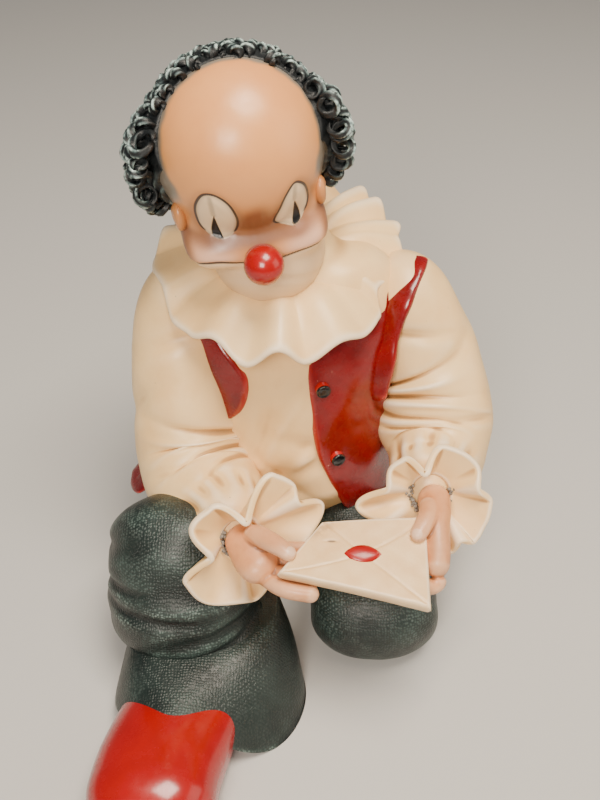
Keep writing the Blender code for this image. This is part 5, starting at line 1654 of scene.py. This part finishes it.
@dataclass
class Trousers:
    """The baggy trousers: seat, both legs, the roll under the knee and the wide front hem."""

    seat: tuple = ((-32, 6, 29, 12, 13), (-15, 9, 32, 18, 18), (6, 12, 33, 21, 20),
        (26, 10, 33, 18, 18), (38, 7, 30, 11, 13))
    right_thigh: tuple = ((4, 12, 30, 17, 16), (-10, -6, 30, 18, 17), (-20, -22, 31, 19, 17.5),
        (-28, -40, 33, 19, 16.5), (-30, -54, 32, 16, 14))
    right_knee: tuple = ((-27.5, -32, 49, 15, 13), (-28.5, -39, 42, 20.5, 19),
        (-28.8, -43.5, 31, 21.8, 21.5), (-28.8, -47.5, 21, 21.8, 22.8), (-28.2, -49, 13, 20.5, 21.5))
    knee_folds: tuple = (Fold(0.34, 165, 0.050, 34, -1.3, 0.12), Fold(0.56, 160, 0.035, 40, -1.6, 0.05),
        Fold(0.70, 120, 0.030, 50, -1.4, -0.06), Fold(0.80, 60, 0.030, 45, -1.2, 0.08),
        Fold(0.62, 60, 0.050, 35, 0.9, 0.10), Fold(0.48, 20, 0.040, 30, -1.0, 0.10))
    left_thigh: tuple = ((12, 12, 30, 18, 17), (20, -8, 23, 19, 15.5), (25, -26, 19, 19, 15.5),
        (27, -44, 14.5, 19, 15.5), (27, -61.5, 11, 19, 13.5))
    left_shin: tuple = ((27, -50, 14, 18, 15), (28, -28, 15, 18.5, 16.5), (29, 0, 15, 17, 15),
        (30, 16, 15, 17, 14.5), (31, 30, 16, 19, 15.5))
    shin_folds: tuple = (Fold(0.55, 60, 0.03, 50, -1.0, 0.10), Fold(0.70, 90, 0.03, 60, -1.2, -0.06),
        Fold(0.82, 40, 0.03, 60, -1.0, 0.08), Fold(0.92, 90, 0.03, 80, 0.9, 0.00))
    roll: tuple = ((-47, -40, 18, 4, 4), (-44, -55, 17, 5, 5), (-27, -65, 16, 5.5, 5.5),
        (-12, -62, 17, 5, 5), (-6, -48, 18, 4, 4))
    hem_centre: tuple = (-20.0, -66.0)
    hem_top: tuple = (-22.0, -48.0, 21.5)
    hem_top_reach: float = 19.5
    hem_lip: float = 2.0
    hem_grid: tuple[int, int] = (52, 230)
    voxel: float = 0.80
    hem_edge: tuple = ((0, 27.0, -1), (40, 25.0, -1), (90, 24.0, -1), (130, 25.5, -1), (170, 28.0, 0),
        (195, 28.5, 6), (220, 28.5, 14), (242, 27.5, 20), (262, 25.6, 19), (280, 24.0, 11),
        (300, 24.5, 2), (320, 26.5, -1))

    def hem(self) -> Surface:
        """The bell-shaped hem: from a gathered ring to its edge, out with share^0.7 and down with
        share^1.25, then a lip turned under.

        Returns:
            The surface.
        """
        rows, columns = self.hem_grid
        turn = np.linspace(0, 360, columns, endpoint=False)
        table = np.array(self.hem_edge, float)
        table = np.vstack([table[-1] - (360, 0, 0), table, table[0] + (360, 0, 0)])
        reach, height = (np.interp(turn, table[:, 0], table[:, k]) for k in (1, 2))
        weights = np.hanning(31) / np.hanning(31).sum()
        wrapped = (np.concatenate([v[-15:], v, v[:15]]) for v in (reach, height))
        reach, height = (np.convolve(v, weights, "valid") for v in wrapped)
        angle = np.radians(turn)
        flat = np.stack([np.cos(angle), np.sin(angle)], axis=-1)
        edge = np.column_stack([np.asarray(self.hem_centre) + flat * reach[:, None], height])
        top = np.asarray(self.hem_top)
        crown = np.column_stack([top[:2] + flat * self.hem_top_reach, np.full(columns, top[2])])
        share = np.linspace(0, 1, rows)[:, None, None]
        body = crown + (edge - crown) * np.concatenate([share**0.7, share**0.7, share**1.25], axis=-1)
        sway = 0.5 * np.sin(5 * angle + 1.0) * np.sin(math.pi * share[..., 0]) ** 2
        body[..., :2] += sway[..., None] * flat
        inward = unit((edge - (*self.hem_centre, 0.0)) * (1, 1, 0))
        curve = np.linspace(0, math.pi / 2, 7)[1:, None, None]
        lip = edge - inward * (1 - np.cos(curve)) * self.hem_lip - np.sin(curve) * (0, 0, 0.8)
        middle = np.broadcast_to(lip[-1].mean(axis=0), (1, columns, 3))
        crest = np.broadcast_to(top + (0, 0, 1.0), (1, columns, 3))
        return round_grid(np.concatenate([crest, body, lip, middle]))

    def cloth(self) -> Surface:
        """Seat, legs and roll, melted into one skin and set on the ground.

        Returns:
            The surface, marked with painted brown shade between the legs.
        """
        parts = [Limb(self.seat, (0, 1, 0), 60, 90), Limb(self.right_thigh, SIDEWAYS, 80, 100),
            Limb(self.right_knee, SIDEWAYS, 110, 150, self.knee_folds, (0.9, 0.3), 2.15, 0.4),
            Limb(self.roll, (0, 0, 1), 80, 48),
            Limb(self.left_thigh, SIDEWAYS, 90, 110, (), (1.0, 0.7), 2.4, 0.3),
            Limb(self.left_shin, SIDEWAYS, 110, 110, self.shin_folds, (0.9, 0.2), 2.0, 0.3)]
        return self.darkened(grounded(fused(joined([part.surface() for part in parts]), self.voxel, 2)))

    def darkened(self, surface: Surface) -> Surface:
        """Marks the painted brown shade between the legs.

        Args:
            surface: The surface.

        Returns:
            The same surface.
        """
        # painted brown shade, strongest between the legs
        spot = (surface.points - (-1.0, -38.0, 12.0)) / (8.0, 16.0, 12.0)
        surface.marks["turned_in"] = np.exp(-(spot**2).sum(axis=1))
        return surface

    def make(self) -> None:
        """Makes the trousers' pieces."""
        make_piece("trousers", self.cloth(), TROUSER_GREEN, 7)
        make_piece("trouser_hem", grounded(self.darkened(self.hem())), TROUSER_GREEN, 5)


@dataclass
class Shoes:
    """The big front shoe, flat on the ground, and the back shoe on its toe."""

    right: tuple = ((-20, -50, 7, 13, 9), (-24, -66, 7, 15, 10), (-28, -80, 7.5, 16.5, 11),
        (-32.3, -97, 9, 16.8, 13), (-34.5, -118, 10, 16.5, 13.5))
    left: tuple = ((31, 22, 17, 11, 12), (32, 32, 17, 13, 13), (33, 40, 9.0, 15.5, 13.5),
        (34, 46, 6.8, 15, 11.5))

    def make(self) -> None:
        """Makes the shoes."""
        for name, rows, square in (("shoe_right", self.right, 2.4), ("shoe_left", self.left, 2.3)):
            shoe = Limb(rows, SIDEWAYS, 100, 108, (), (0.8, 0.9), square, 0.12, 20.0)
            make_piece(name, grounded(shoe.surface()), SHOE_RED, 2)


@dataclass
class Studio:
    """Camera, soft lights and a plain pale floor."""

    camera_place: tuple = (-0.0008, -0.1899, 0.245)
    camera_tip: float = 50.0
    lens: float = 28.5
    sensor: float = 24.0
    floor_size: float = 4.0
    # Name, place and side in metres, power in watts and colour.
    lights: tuple = (("overhead", (0.12, -0.10, 0.75), 0.32, 8.0, "FFF2E0"),
        ("window", (-0.14, -0.62, 0.55), 0.28, 5.8, "FFF3E4"),
        ("side_fill", (0.75, -0.10, 0.35), 0.5, 1.5, "FFF0DC"))
    aim: tuple = (0.0, 0.0, 0.09)
    room_colour: str = "D8DADC"
    room_strength: float = 0.24

    def camera(self) -> None:
        """Adds the camera that stands where the photograph was taken from."""
        data = bpy.data.cameras.new("camera")
        data.sensor_fit = "VERTICAL"
        data.sensor_height = self.sensor
        data.lens = self.lens
        data.clip_start = 0.005
        camera = bpy.data.objects.new("camera", data)
        camera.location = self.camera_place
        camera.rotation_euler = (math.radians(self.camera_tip), 0, 0)
        bpy.context.scene.collection.objects.link(camera)
        bpy.context.scene.camera = camera

    def light(self, name: str, place: tuple, size: float, power: float, colour: str) -> None:
        """Adds a square soft light that points at the figurine's chest.

        Args:
            name: The light's name.
            place: Where it stands, in metres.
            size: Its side.
            power: Its power in watts.
            colour: Its sRGB colour.
        """
        data = bpy.data.lights.new(name, "AREA")
        data.size = size
        data.energy = power
        data.color = linear_colour(colour)[:3]
        lamp = bpy.data.objects.new(name, data)
        lamp.location = place
        way = unit(np.array(place) - self.aim)
        lamp.rotation_euler = (math.acos(way[2]), 0.0, math.atan2(way[1], way[0]) + math.pi / 2)
        bpy.context.scene.collection.objects.link(lamp)

    def make(self) -> None:
        """Builds the studio."""
        for light in self.lights:
            self.light(*light)
        world = bpy.data.worlds.new("room")
        world.use_nodes = True
        background = world.node_tree.nodes["Background"]
        background.inputs["Color"].default_value = linear_colour(self.room_colour)
        background.inputs["Strength"].default_value = self.room_strength
        bpy.context.scene.world = world
        half = self.floor_size / 2
        corners = np.array([(-half, -half, 0), (half, -half, 0), (half, half, 0), (-half, half, 0)])
        floor = bpy.data.objects.new("floor", mesh_of("floor", corners, np.array([[0, 1, 2, 3]])))
        floor.data.materials.append(Finish("matt_paper_backdrop", "BFBDB9", roughness=0.8,
            grain_mm=4.0).material())
        bpy.context.scene.collection.objects.link(floor)


def main() -> None:
    """Builds the figurine and the studio."""
    logging.basicConfig(level=logging.INFO, format="%(name)s: %(message)s")
    studio = Studio()
    studio.camera()
    head = Head()
    shirt = Shirt()
    for assembly in (head, Hair(head), shirt, Waistcoat(shirt), Letter(), Hands(shirt), Trousers(), Shoes()):
        assembly.make()
    studio.make()


if __name__ == "__main__":
    main()
